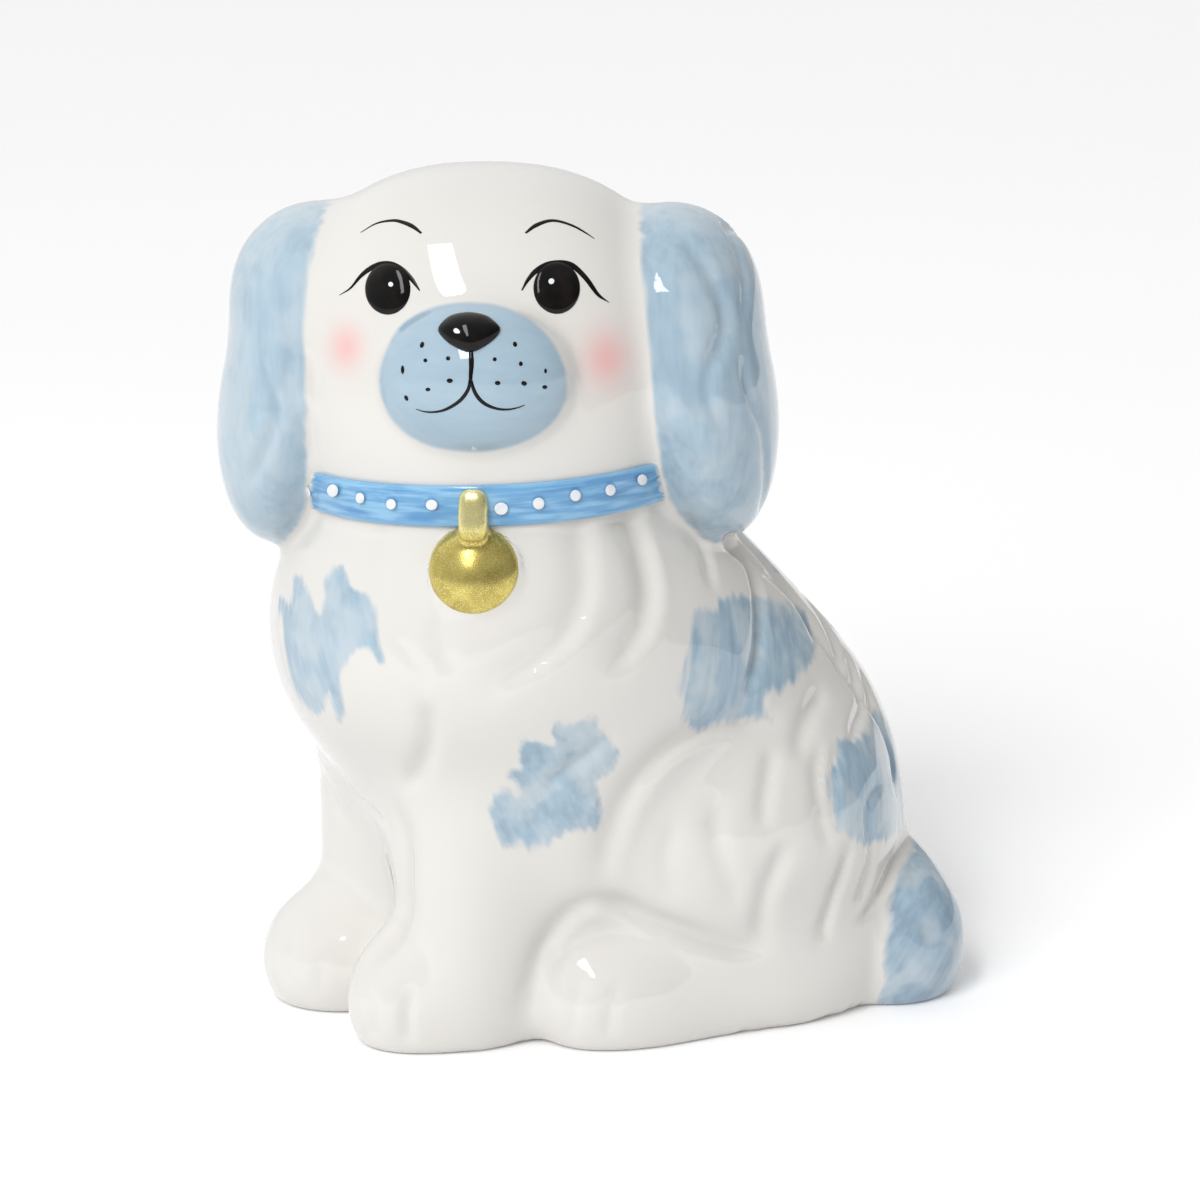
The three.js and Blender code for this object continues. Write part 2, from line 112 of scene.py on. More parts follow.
def ramp(values: Array, low: float, high: float) -> Array:
    """Climbs smoothly from 0 at low to 1 at high."""
    share = np.clip((values - low) / (high - low), 0.0, 1.0)
    return share * share * (3.0 - 2.0 * share)


def turned(degrees: float, axis: str) -> Matrix:
    """Returns a turn about an axis."""
    return Matrix.Rotation(math.radians(degrees), 4, axis)


def fuse(one: Array, other: Array, width: float) -> Array:
    """Joins two depths with a smooth fillet."""
    share = np.maximum(width - np.abs(one - other), 0.0) / width
    return np.minimum(one, other) - share * share * width / 4.0


class Side(Enum):
    """The dog's own sides, by the sign of x in the head's frame."""

    LEFT = 1
    RIGHT = -1


class Home(Enum):
    """The frames that a form can be given in."""

    BODY = "body"
    HEAD = "head"

    def matrix(self) -> Matrix:
        """Returns the frame's place in the potter's frame."""
        if self is Home.BODY:
            return Matrix.Identity(4)
        return Matrix.Translation(HEAD_AT) @ turned(HEAD_TURN, "Z")


@dataclass(frozen=True)
class Lump:
    """An ellipsoid of clay.

    A fullness over 2 squares it off. The tilt leans it about the frame's Y, the pitch about its X.
    """

    at: Point
    half: Point
    blend: float = 4.0
    home: Home = Home.BODY
    tilt: float = 0.0
    fullness: float = 2.0
    pitch: float = 0.0

    def place(self) -> Matrix:
        """Returns the lump's place in the potter's frame, without its size."""
        lean = turned(self.tilt, "Y") @ turned(self.pitch, "X")
        return self.home.matrix() @ Matrix.Translation(self.at) @ lean

    @cached_property
    def undo(self) -> tuple[Array, Array]:
        """The turn and the shift that bring a point into the lump's own frame."""
        matrix = np.array(self.place().inverted())
        return matrix[:3, :3].T, matrix[:3, 3]

    def mirrored(self) -> "Lump":
        """Returns the lump on the other side of its own frame."""
        x, y, z = self.at
        return replace(self, at=(-x, y, z), tilt=-self.tilt)

    def depth(self, points: Array) -> Array:
        """Tells how far points lie outside the lump.

        Args:
            points: Rows of x, y, z.

        Returns:
            A depth for each point, negative inside.
        """
        turn, shift = self.undo
        squeeze = 1.0 / np.array(self.half)
        near = np.abs(points @ turn + shift) * squeeze
        power = self.fullness
        edge = near if power == 2.0 else near ** (power - 1.0)
        reach = (edge * near) @ np.ones(3)
        slope = np.sqrt((edge * edge) @ (squeeze * squeeze))
        reach = np.sqrt(reach) if power == 2.0 else reach ** (1.0 / power)
        return (reach - 1.0) * reach ** (power - 1.0) / np.maximum(slope, 1e-9)

    def add_to(self, sheet: Sheet) -> None:
        """Adds the lump's surface to a mesh.

        Args:
            sheet: The mesh that takes it.
        """
        made = bmesh.ops.create_icosphere(sheet, subdivisions=4, radius=1.0)["verts"]
        if self.fullness != 2.0:
            for vert in made:
                reach = sum(abs(value) ** self.fullness for value in vert.co)
                vert.co /= reach ** (1.0 / self.fullness)
        bmesh.ops.transform(sheet, matrix=self.place() @ Matrix.Diagonal((*self.half, 1.0)), verts=made)


class Clay:
    """Lumps pressed together, with a smooth fillet where they meet."""

    def __init__(self, *lumps: Lump) -> None:
        """Keeps the lumps in the order in which they are pressed on."""
        self.lumps = lumps

    def depth(self, points: Array) -> Array:
        """Tells how far points lie outside the clay.

        Args:
            points: Rows of x, y, z.

        Returns:
            A depth for each point, negative inside.
        """
        total = self.lumps[0].depth(points)
        for lump in self.lumps[1:]:
            total = fuse(total, lump.depth(points), 2.0 * lump.blend)
        return total


Depth = Callable[[Array], Array]
NUDGE = 0.02


def slope_of(depth: Depth, points: Array, here: Array | None = None) -> Array:
    """Finds the way out of a form, by a small step along each axis."""
    here = depth(points) if here is None else here
    return np.stack([(depth(points + step) - here) / NUDGE for step in np.eye(3) * NUDGE], axis=1)


def settle(depth: Depth, points: Array, level: float = 0.0, rounds: int = 4, most: float = 2.5) -> Array:
    """Moves points onto a form's surface along its own slope.

    Args:
        depth: The form.
        points: Rows of x, y, z near the surface.
        level: The depth of the surface to settle on.
        rounds: How many times to correct.
        most: The longest step of one correction.

    Returns:
        The settled points.
    """
    for _ in range(rounds):
        here = depth(points)
        slope = slope_of(depth, points, here)
        gap = (here - level) / np.maximum(np.sum(slope * slope, axis=1), 1e-6)
        points = points - np.clip(gap, -most, most)[:, None] * slope
    return points


def strike(depth: Depth, starts: Array, ways: Array, reach: float, level: float = 0.0) -> Array:
    """Follows rays inwards to the first place where they meet a form.

    A ray that misses is settled from the place where it passes nearest. Halving finds the exact place.

    Args:
        depth: The form.
        starts: Where the rays start, outside the form.
        ways: Their unit directions.
        reach: How far to follow them.
        level: The depth of the surface to meet.

    Returns:
        A point on the surface for each ray.
    """
    step, halvings = 1.0, 14
    near = np.full(len(starts), np.inf)
    nearest = np.zeros(len(starts))
    low = np.full(len(starts), np.nan)
    for travel in np.arange(0.0, reach, step):
        here = depth(starts + ways * travel) - level
        fresh = np.isnan(low) & (here <= 0.0)
        low[fresh] = travel
        closer = here < near
        near[closer] = here[closer]
        nearest[closer] = travel
    missed = np.isnan(low)
    inside = np.where(missed, nearest, low)
    outside = inside - step
    for _ in range(halvings):
        middle = (inside + outside) / 2.0
        beyond = depth(starts + ways * middle[:, None]) - level > 0.0
        outside = np.where(beyond, middle, outside)
        inside = np.where(beyond, inside, middle)
    travel = np.where(missed, nearest, (inside + outside) / 2.0)
    points = starts + ways * travel[:, None]
    if missed.any():
        points[missed] = settle(depth, points[missed], level, 12)
    return points


def dropped(depth: Depth, points: Array, outs: Array, level: float = 0.0) -> Array:
    """Slides points along given ways until they meet a form.

    Args:
        depth: The form.
        points: Rows of x, y, z near it.
        outs: The unit ways out of the form, one for all or one for each.
        level: The depth of the surface to meet.

    Returns:
        The points on the surface.
    """
    rounds, most, least_rate = 10, 2.0, 0.25
    for _ in range(rounds):
        here = depth(points)
        rate = (depth(points + outs * NUDGE) - here) / NUDGE
        points = points - np.clip((here - level) / np.maximum(rate, least_rate), -most, most)[:, None] * outs
    return points


def smooth_line(points: Sequence[Sequence[float]], count: int, closed: bool = False) -> Array:
    """Draws a smooth line through points, evenly along it.

    Args:
        points: The places that the line passes.
        count: How many places to return.
        closed: Whether it comes back to its start.

    Returns:
        Rows of places along the line.
    """
    knots = np.asarray(points, float)
    share = np.linspace(0.0, 1.0, 12, endpoint=False)[:, None]
    if closed:
        knots = np.vstack([knots[-1:], knots, knots[:2]])
    else:
        knots = np.vstack([2 * knots[0] - knots[1], knots, 2 * knots[-1] - knots[-2]])
    fine = []
    for index in range(1, len(knots) - 2):
        before, start, end, after = knots[index - 1 : index + 3]
        bend = 2 * before - 5 * start + 4 * end - after
        twist = 3 * start - before - 3 * end + after
        fine.append(0.5 * (2 * start + (end - before) * share + bend * share**2 + twist * share**3))
    fine.append(knots[-2:-1])
    line = np.vstack(fine)
    run = np.concatenate([[0.0], np.cumsum(np.linalg.norm(np.diff(line, axis=0), axis=1))])
    stops = np.linspace(0.0, run[-1], count, endpoint=not closed)
    return np.stack([np.interp(stops, run, line[:, axis]) for axis in range(line.shape[1])], axis=1)


@dataclass(frozen=True)
class PhotoView:
    """Where the photograph was taken from, for places that are read off it."""

    azimuth: float = 60.0
    elevation: float = 14.0
    distance: float = 900.0
    aim: Point = (0.0, 0.0, 87.0)
    focal: float = 4136.0
    side: float = 1200.0

    def axes(self) -> tuple[Array, Array, Array]:
        """Works out how the camera is turned.

        Returns:
            The camera's right, its up, and the way back towards it.
        """
        turn = math.radians(self.azimuth)
        rise = math.radians(self.elevation)
        back = np.array([math.sin(turn) * math.cos(rise), -math.cos(turn) * math.cos(rise), math.sin(rise)])
        right = np.array([math.cos(turn), math.sin(turn), 0.0])
        return right, np.cross(back, right), back

    def eye(self) -> Array:
        """Returns the camera's place."""
        return np.array(self.aim) + self.axes()[2] * self.distance

    def pixels(self, points: Array) -> Array:
        """Tells where points show in the photograph.

        Args:
            points: Rows of x, y, z.

        Returns:
            Rows of pixels, across and down.
        """
        right, up, back = self.axes()
        off = points - np.array(self.aim)
        scale = self.focal / (self.distance - off @ back)
        middle = self.side / 2.0
        return np.stack([middle + off @ right * scale, middle - off @ up * scale], axis=1)

    def grain(self, points: Array) -> Array:
        """Returns the millimetres that a pixel spans at points."""
        return (self.distance - (points - np.array(self.aim)) @ self.axes()[2]) / self.focal

    def rays(self, pixels: Array) -> Array:
        """Aims rays from the camera.

        Args:
            pixels: Rows of pixels, across and down.

        Returns:
            A unit way for each pixel.
        """
        right, up, back = self.axes()
        off = (np.asarray(pixels, float) - self.side / 2.0) / self.focal
        return unit(off[:, :1] * right - off[:, 1:] * up - back)

    def strike(self, depth: Depth, pixels: Array, level: float = 0.0) -> Array:
        """Finds the places on a form that show at pixels.

        Args:
            depth: The form.
            pixels: Rows of pixels, across and down.
            level: The depth of the surface to meet.

        Returns:
            A point on the surface for each pixel.
        """
        ways = self.rays(pixels)
        margin = 130.0
        starts = self.eye() + ways * (self.distance - margin)
        return strike(depth, starts, ways, 2.0 * margin, level)

    def lay(self, depth: Depth, pixels: Array, level: float = 0.0) -> Array:
        """Lays a small figure on a form, near the place where its middle shows.

        Args:
            depth: The form.
            pixels: Rows of pixels, across and down.
            level: The depth of the surface to lie on.

        Returns:
            A point on the surface for each pixel.
        """
        back = self.axes()[2]
        middle = self.strike(depth, np.mean(pixels, axis=0)[None], level)
        ways = self.rays(pixels)
        travel = ((self.eye() - middle) @ back) / -(ways @ back)
        return dropped(depth, self.eye() + ways * travel[:, None], -ways, level)

    def along(self, pixel_way: Pixel) -> Array:
        """Turns a direction in the photograph into one in space."""
        right, up, _ = self.axes()
        return unit(pixel_way[0] * right - pixel_way[1] * up)

    def beside(self, place: Point) -> Vector:
        """Turns the camera's right, up and towards it into a way in space."""
        right, up, back = self.axes()
        return Vector(place[0] * right + place[1] * up + place[2] * back)


PHOTO = PhotoView()


class Traced(Enum):
    """How the places of a line are given."""

    PHOTO = "pixels across and down"
    ROUND = "bearing round the body in degrees, height in millimetres"


class Echo(Enum):
    """Where a carved line is repeated out of the photograph's sight."""

    NONE = "nowhere"
    FLANK = "the other side of the body"
    EAR_BACK = "the back of the same ear"


@dataclass(frozen=True)
class Groove:
    """A line pressed into the clay between two locks of hair, toes or limbs.

    It has a depth and a breadth for the wall on either side of it, as it runs. Where one wall is steeper, the
    lock on that side stands a little proud.
    """

    line: tuple[Pixel, ...]
    depth: float = 0.8
    left: float = 3.0
    right: float = 2.0
    traced: Traced = Traced.PHOTO
    echo: Echo = Echo.NONE


ECHOES = {
    Echo.FLANK: (Home.BODY, (-1.0, 1.0, 1.0)),
    Echo.EAR_BACK: (Home.HEAD, (1.0, -1.0, 1.0)),
}
ROUTE_POINTS = 30

# What a groove's depth is multiplied by, and the share of it that its lip stands proud
PRESS = 1.6
LIP = 0.38

# Shares of a groove's length between which it has its full depth
FULL_BETWEEN = (0.22, 0.74)

# Shares of a wall's breadth at which it bends and at which its lip stands highest
BEND_AT = 0.6
CREST_AT = 0.8

# Heights over the clay between which a groove stops acting
FADE_ABOVE = (6.0, 12.0)


@dataclass(frozen=True)
class Patch:
    """A brushed patch of blue: its outline, the way that the brush went, and its edge in millimetres.

    The load tells how much more colour the brush held there, from 0.
    """

    outline: tuple[Pixel, ...]
    brush: Pixel
    traced: Traced = Traced.PHOTO
    soft: float = 1.3
    ragged: float = 0.8
    load: float = 0.0


# Locks of hair on the chest and shoulder, as they show in the photograph
CHEST_LOCKS = (
    Groove(((572, 484), (579, 520), (584, 552), (586, 580), (581, 608), (566, 636), (535, 662), (500, 684),
        (478, 712)), 0.9, 8.0, 3.2),
    Groove(((612, 478), (629, 514), (643, 545), (651, 578), (651, 606), (641, 636), (619, 662), (590, 682)),
        1.3, 8.5, 3.2),
    Groove(((684, 508), (699, 535), (709, 560), (714, 596)), 0.9, 3.6, 1.8),
    Groove(((731, 538), (751, 564), (760, 590), (763, 620), (762, 650), (755, 676), (738, 712)),
        1.4, 4.2, 2.0, echo=Echo.FLANK),
    Groove(((724, 528), (750, 556), (777, 579), (800, 604), (815, 634), (819, 668)),
        1.0, 3.0, 1.7, echo=Echo.FLANK),
    Groove(((798, 588), (821, 616), (836, 644), (846, 680)), 0.9, 3.0, 1.8, echo=Echo.FLANK),
    Groove(((844, 648), (858, 682), (863, 706), (857, 726), (850, 752)), 0.9, 2.6, 1.5, echo=Echo.FLANK),
    Groove(((858, 664), (872, 698), (884, 728), (893, 760), (895, 800)), 1.0, 2.2, 1.8),
    Groove(((828, 686), (812, 712), (803, 736), (799, 770)), 0.8, 4.2, 3.0, echo=Echo.FLANK),
    Groove(((425, 694), (429, 726), (427, 750), (417, 774), (402, 796)), 1.0, 3.8, 3.2),
    Groove(((392, 636), (408, 654), (421, 673), (430, 696)), 0.4, 1.6, 1.6),
    Groove(((386, 520), (376, 552), (374, 584), (379, 622)), 0.45, 3.4, 3.0),
    Groove(((434, 612), (440, 642), (448, 680)), 0.4, 4.0, 4.0),
    Groove(((334, 764), (354, 794), (370, 808), (388, 824)), 0.4, 1.6, 1.6),
    Groove(((312, 756), (334, 796), (360, 842)), 0.4, 4.0, 3.0),
    Groove(((612, 730), (590, 752), (567, 769), (540, 794)), 0.9, 2.0, 2.4),
)

# Limbs
LIMB_LINES = (
    Groove(((392, 790), (403, 835), (405, 880), (403, 915), (393, 940), (371, 961), (353, 986)),
        1.2, 4.5, 4.5),
    Groove(((790, 722), (755, 724), (722, 727), (690, 739), (664, 757), (642, 781), (625, 808), (613, 840),
        (606, 872), (603, 905)), 1.15, 6.5, 2.8, echo=Echo.FLANK),
    Groove(((592, 902), (625, 912), (655, 924), (690, 938), (722, 948), (750, 952), (785, 945)),
        1.1, 2.6, 6.0, echo=Echo.FLANK),
    Groove(((648, 921), (620, 909), (596, 905), (573, 915), (554, 936), (541, 963), (533, 995), (527, 1036)),
        0.9, 6.0, 2.6, echo=Echo.FLANK),
    Groove(((373, 984), (371, 1005), (372, 1024), (375, 1044)), 0.6, 1.5, 1.5),
    Groove(((412, 984), (409, 1006), (408, 1024), (410, 1046)), 0.9, 2.4, 1.3),
    Groove(((291, 928), (284, 948), (283, 966), (289, 990)), 0.4, 1.8, 1.8),
    Groove(((326, 954), (321, 974), (322, 994)), 0.25, 1.8, 1.8),
    Groove(((584, 970), (577, 998), (572, 1022), (571, 1044)), 0.4, 2.2, 1.8, echo=Echo.FLANK),
    Groove(((619, 980), (612, 1006), (608, 1042)), 0.45, 2.2, 1.8, echo=Echo.FLANK),
)

# Folds of hair over the haunch and flank
FLANK_LOCKS = (
    Groove(((775, 744), (770, 778), (766, 804), (765, 834)), 0.9, 3.4, 2.0, echo=Echo.FLANK),
    Groove(((722, 782), (716, 820), (721, 856), (735, 890), (744, 918)), 0.7, 5.0, 3.4, echo=Echo.FLANK),
    Groove(((677, 818), (669, 850), (669, 880), (677, 910)), 0.35, 4.0, 3.0, echo=Echo.FLANK),
    Groove(((794, 836), (779, 866), (767, 896), (763, 926), (769, 952)), 1.0, 4.2, 2.8, echo=Echo.FLANK),
    Groove(((823, 736), (820, 776), (825, 816), (834, 858)), 0.8, 4.2, 1.8, echo=Echo.FLANK),
    Groove(((840, 736), (834, 768), (833, 804), (841, 844)), 0.7, 1.6, 1.6, echo=Echo.FLANK),
    Groove(((854, 836), (845, 870), (834, 900), (826, 928), (823, 954)), 1.2, 3.2, 1.7, echo=Echo.FLANK),
    Groove(((873, 826), (873, 856), (866, 884), (854, 912)), 0.9, 2.4, 1.5, echo=Echo.FLANK),
    Groove(((884, 780), (871, 797), (868, 820), (873, 852)), 0.8, 1.6, 1.5, echo=Echo.FLANK),
    Groove(((902, 842), (889, 876), (873, 904), (854, 932)), 0.8, 2.0, 1.6, echo=Echo.FLANK),
)

# The ears' waves
EAR_LOCKS = (
    Groove(((652, 228), (673, 231), (692, 248), (708, 268), (719, 292), (727, 318), (722, 345), (711, 370),
        (708, 394), (718, 419), (740, 452)), 1.0, 3.2, 1.9, echo=Echo.EAR_BACK),
    Groove(((657, 284), (668, 308), (680, 330), (689, 356), (691, 382), (695, 408), (710, 452)),
        0.6, 4.0, 2.8),
    Groove(((724, 216), (738, 246), (745, 272), (747, 297), (744, 330)), 0.7, 3.0, 1.3, echo=Echo.EAR_BACK),
    Groove(((742, 350), (745, 378), (750, 398), (757, 415), (768, 442)), 0.8, 1.4, 2.4, echo=Echo.EAR_BACK),
    Groove(((763, 424), (767, 455), (767, 482), (762, 512)), 0.7, 2.4, 1.4),
    Groove(((678, 436), (686, 454), (694, 466), (705, 480)), 0.8, 1.4, 1.4),
    Groove(((270, 230), (255, 250), (246, 272), (237, 306)), 0.5, 1.4, 1.6),
    Groove(((256, 334), (261, 366), (271, 392), (276, 414), (271, 436), (256, 468), (240, 494)),
        0.9, 3.0, 1.8, echo=Echo.EAR_BACK),
    Groove(((245, 366), (243, 392), (236, 416), (231, 456)), 0.6, 2.0, 1.6, echo=Echo.EAR_BACK),
    Groove(((300, 346), (288, 370), (285, 392), (289, 418)), 0.5, 3.4, 2.4),
    Groove(((305, 346), (311, 368), (316, 384), (319, 408)), 0.5, 2.0, 2.0),
    Groove(((303, 402), (311, 424), (310, 446), (303, 470)), 0.4, 2.6, 2.0),
)

# Hair down the back, by bearing from +X towards +Y and by height
BACK_LOCKS = (
    Groove(((78, 118), (84, 96), (78, 76), (84, 54)), 1.0, 3.2, 2.4, Traced.ROUND),
    Groove(((100, 118), (95, 96), (101, 76), (96, 52)), 1.0, 2.4, 3.2, Traced.ROUND),
    Groove(((118, 114), (112, 94), (119, 72), (112, 50)), 1.0, 2.4, 3.2, Traced.ROUND),
    Groove(((62, 114), (67, 94), (60, 72), (66, 50)), 0.9, 3.2, 2.4, Traced.ROUND),
    Groove(((135, 104), (130, 84), (137, 64)), 0.9, 2.4, 3.0, Traced.ROUND),
    Groove(((88, 44), (83, 30), (90, 18)), 0.8, 2.4, 2.4, Traced.ROUND),
    Groove(((106, 42), (112, 28), (104, 14)), 0.8, 2.4, 2.4, Traced.ROUND),
    Groove(((126, 44), (132, 28), (124, 12)), 0.8, 2.4, 2.4, Traced.ROUND),
)

TAIL_LOCKS = (
    Groove(((884, 905), (905, 910), (925, 925), (940, 950)), 0.6, 2.5, 2.5),
    Groove(((897, 935), (908, 960), (905, 985)), 0.4, 3.0, 3.0),
)

GROOVES = (*CHEST_LOCKS, *LIMB_LINES, *FLANK_LOCKS, *EAR_LOCKS, *BACK_LOCKS, *TAIL_LOCKS)

# Brushed patches: the muzzle and four in the photograph, and the ones that the other side would have
PATCHES = (
    Patch(((435, 306), (469, 302), (503, 306), (534.7, 321.8), (557.5, 348.6), (568, 383), (563, 408),
        (546, 430), (515, 446), (477, 452.5), (432, 447), (399, 429), (383, 404), (378.7, 378),
        (386, 348.6), (403.5, 321.8)), (1.0, 0.1), soft=0.7, ragged=0.03, load=0.06),
    Patch(((279, 597), (286, 601), (291, 616), (293, 600), (291, 578), (300, 576), (309, 590), (319, 614),
        (322, 598), (323, 578), (330, 571), (338, 562), (344, 567), (348, 587), (360, 590), (370, 594),
        (376, 609), (377, 636), (384, 662), (377, 664), (365, 650), (355, 654), (347, 664), (341, 680),
        (343, 712), (340, 722), (333, 704), (328, 690), (325, 708), (317, 716), (306, 706), (294, 686),
        (286, 653), (281, 630)), (0.34, 0.94), soft=1.0, ragged=0.35),
    Patch(((519, 737), (534, 740), (553, 742), (557, 723), (575, 722), (585, 719), (597, 721), (606, 737),
        (616, 750), (616, 764), (598, 780), (596, 797), (601, 820), (592, 830), (573, 829), (560, 836),
        (549, 845), (539, 851), (526, 848), (515, 843), (503, 846), (496, 839), (492, 822), (488, 812),
        (492, 792), (503, 789), (518, 796), (520, 783), (508, 774), (519, 768)),
        (0.42, 0.9), soft=1.3, ragged=0.5),
    Patch(((696, 610), (713, 609), (719, 597), (736, 595), (755, 598), (785, 602), (803, 615), (814, 639),
        (814, 652), (804, 671), (789, 685), (776, 692), (764, 700), (770, 722), (752, 716), (731, 723),
        (704, 729), (689, 731), (681, 705), (678, 690), (686, 656), (692, 630)),
        (-0.12, 1.0), soft=1.4, ragged=0.5),
    Patch(((837, 741), (854, 740), (866, 730), (872, 712), (884, 716), (896, 745), (902, 790), (899, 834),
        (881, 840), (868, 846), (852, 840), (838, 835), (832, 815), (828, 782), (836, 761)),
        (0.08, 1.0), soft=1.2, ragged=0.5, load=0.01),
    Patch(((96, 66), (112, 74), (128, 66), (132, 48), (118, 36), (100, 42)), (0.2, 1.0), Traced.ROUND),
    Patch(((168, 84), (184, 92), (200, 84), (203, 66), (188, 56), (170, 62)), (-0.2, 1.0), Traced.ROUND),
    Patch(((70, 104), (88, 110), (104, 100), (98, 88), (76, 88)), (0.1, 1.0), Traced.ROUND),
    Patch(((196, 34), (212, 44), (226, 34), (222, 20), (204, 16)), (0.3, 1.0), Traced.ROUND),
)

# Blush on the cheeks: middle and spread, in pixels, and strength
CHEEKS = (((346.0, 347.0), (11.0, 15.0), 1.2), ((606.0, 358.0), (15.0, 19.0), 1.3))

# The white gap in the tail's blue, by middle and half sizes in pixels, and the colour on each ear's brush
TAIL_GAP = ((862.0, 978.0), (17.0, 26.0))
TAIL_GAP_FADE = 4.0
EAR_LOADS = {Side.LEFT: 0.04, Side.RIGHT: -0.02}

# The share by which streaks are drawn out along the brush's way
BRUSH_DRAWN = 0.85

# Millimetres that a patch loses where the clay turns away from the camera, or from its own bearing
PATCH_FADE_BEHIND = 25.0
PATCH_FADE_ROUND = 8.0


def axis_y(heights: Array) -> Array:
    """Returns where the body's axis stands in y at heights."""
    return AXIS_Y + (HEAD_AT[1] - AXIS_Y) * ramp(heights, *LEAN_BETWEEN)


def outward(turn: Array) -> Array:
    """Returns the level unit ways out from the axis at bearings in radians."""
    return np.stack([np.cos(turn), np.sin(turn), np.zeros_like(turn)], axis=1)


def round_axis(bearings: Array, heights: Array) -> tuple[Array, Array]:
    """Aims rays at the body from all round its upright axis.

    Args:
        bearings: Degrees round the axis.
        heights: Millimetres over the floor.

    Returns:
        Where the rays start, and their unit ways inwards.
    """
    out = outward(np.radians(bearings))
    axis = np.stack([np.zeros_like(heights), axis_y(heights), heights], axis=1)
    return axis + out * FAR, -out


def strike_round(depth: Depth, bearings: Array, heights: Array, level: float = 0.0) -> Array:
    """Finds places on a form from all round the body."""
    return strike(depth, *round_axis(np.atleast_1d(bearings), np.atleast_1d(heights)), FAR, level)


@dataclass
class Casting:
    """The hollow glazed casting: trunk, head, legs, ears, tail and muzzle in one skin."""

    voxel: float = 1.15
    quick_coarser: float = 1.6
    room_voxel: float = 2.6
    polish: int = 3
    tool_clear: float = 6.0
    ear_fillet: float = 4.5
    tail_fillet: float = 3.5
    muzzle_fillet: float = 2.0
    foot_round: float = 1.4
    bell_rim: float = 0.7
    mound_proud: float = 1.6
    trunk: tuple[Lump, ...] = (
        Lump((0, 24, 10), (46, 43, 24), 8),
        Lump((0, 28, 36), (44, 42, 42), 12),
        Lump((0, 12, 50), (44, 48, 49), 9),
        Lump((0, -24, 86), (51, 50, 43), 14),
        Lump((0, -20, 50), (41, 33, 44), 8),
        Lump((0, -25, 14), (32, 24, 26), 5),
        Lump((0, -26, 116), (36, 34, 28), 8),
    )
    paired: tuple[Lump, ...] = (
        Lump((30, 16, 41), (24.5, 37, 31), 2.5),
        Lump((31, 22, 10), (16, 28, 20), 7),
        Lump((32, -5, 9), (15.5, 28, 18), 3),
        Lump((18, -41.5, 38), (16.2, 16.2, 48), 4),
    )
    paws: tuple[Lump, ...] = (
        Lump((12.5, -50, 9), (14.5, 17.5, 17), 4),
        Lump((-21, -52, 9), (17, 19, 17), 4),
    )
    head: tuple[Lump, ...] = (
        Lump((-1.4, 0, 0), SKULL_HALF, 6, Home.HEAD, fullness=2.35),
        Lump((0, -8, -14), (35, 32, 24), 8, Home.HEAD),
    )
    ear_half: Point = (16.5, 30.0, 33.5)
    ear_root_half: Point = (17.0, 22.0, 15.0)
    clay: Clay = field(init=False)
    ears: dict[Side, Clay] = field(init=False)
    tail: Clay = field(init=False)
    muzzle: Clay = field(init=False)
    mound: Clay = field(init=False)
    laid: list[tuple[Groove, Array, Array]] = field(init=False)

    def __post_init__(self) -> None:
        """Presses the lumps together and lays the grooves on them."""
        pairs = [lump for one in self.paired for lump in (one, one.mirrored())]
        self.clay = Clay(*self.trunk, *pairs, *self.paws, *self.head)
        self.ears = {
            Side.LEFT: self.ear(Side.LEFT, out=0.6, drop=8.0, flare=11.0),
            Side.RIGHT: self.ear(Side.RIGHT, out=-1.4, drop=9.8, flare=11.0),
        }
        self.tail = Clay(Lump((34, 53, 11), (18.4, 17.4, 20)), Lump((28, 60, 19), (7, 7, 12), 4))
        self.muzzle = Clay(Lump((0, -36, -0.6), (20.4, 14, 16.6), 2, Home.HEAD))
        rim = BELL_RADIUS + self.bell_rim
        seat = Home.HEAD.matrix().inverted() @ Vector(self.bell_seat())
        seat.x -= BELL_ASIDE
        self.mound = Clay(Lump(tuple(seat), (rim, self.mound_proud, rim), 1, Home.HEAD, pitch=BELL_PITCH))
        self.laid = self.routes()

    def ear(self, side: Side, out: float, drop: float, flare: float) -> Clay:
        """Shapes one ear: its flap, and the root that joins it to the crown.

        Args:
            side: Which ear.
            out: How far outside the skull's side its middle lies.
            drop: How far below the skull's middle it hangs.
            flare: How far its lower edge leans out, in degrees.

        Returns:
            The ear's clay.
        """
        sign = side.value
        flap = Lump((sign * (SKULL_HALF[0] + out), -1, -drop), self.ear_half, 6, Home.HEAD, -sign * flare)
        root = Lump((sign * (SKULL_HALF[0] - 6), 0, 14), self.ear_root_half, 6, Home.HEAD)
        return Clay(flap, root)

    def bell_seat(self) -> Array:
        """Returns the place on the chest that the bell's middle rests on."""
        return strike_round(self.clay.depth, BELL_BEARING, COLLAR_Z - BELL_DROP)[0]

    def bare(self, points: Array) -> Array:
        """Tells how far points lie outside the trunk and head, without ears, tail or muzzle."""
        return self.clay.depth(points)

    def whole(self, points: Array) -> Array:
        """Tells how far points lie outside all the clay, whose foot is flat on z = 0.

        Args:
            points: Rows of x, y, z.

        Returns:
            A depth for each point, negative inside.
        """
        total = self.clay.depth(points)
        for ear in self.ears.values():
            total = fuse(total, ear.depth(points), self.ear_fillet)
        total = fuse(total, self.tail.depth(points), self.tail_fillet)
        total = fuse(total, self.muzzle.depth(points), self.muzzle_fillet)
        total = fuse(total, self.mound.depth(points), self.bell_rim)
        flat = -points[:, 2]
        return -fuse(-total, -flat, self.foot_round)

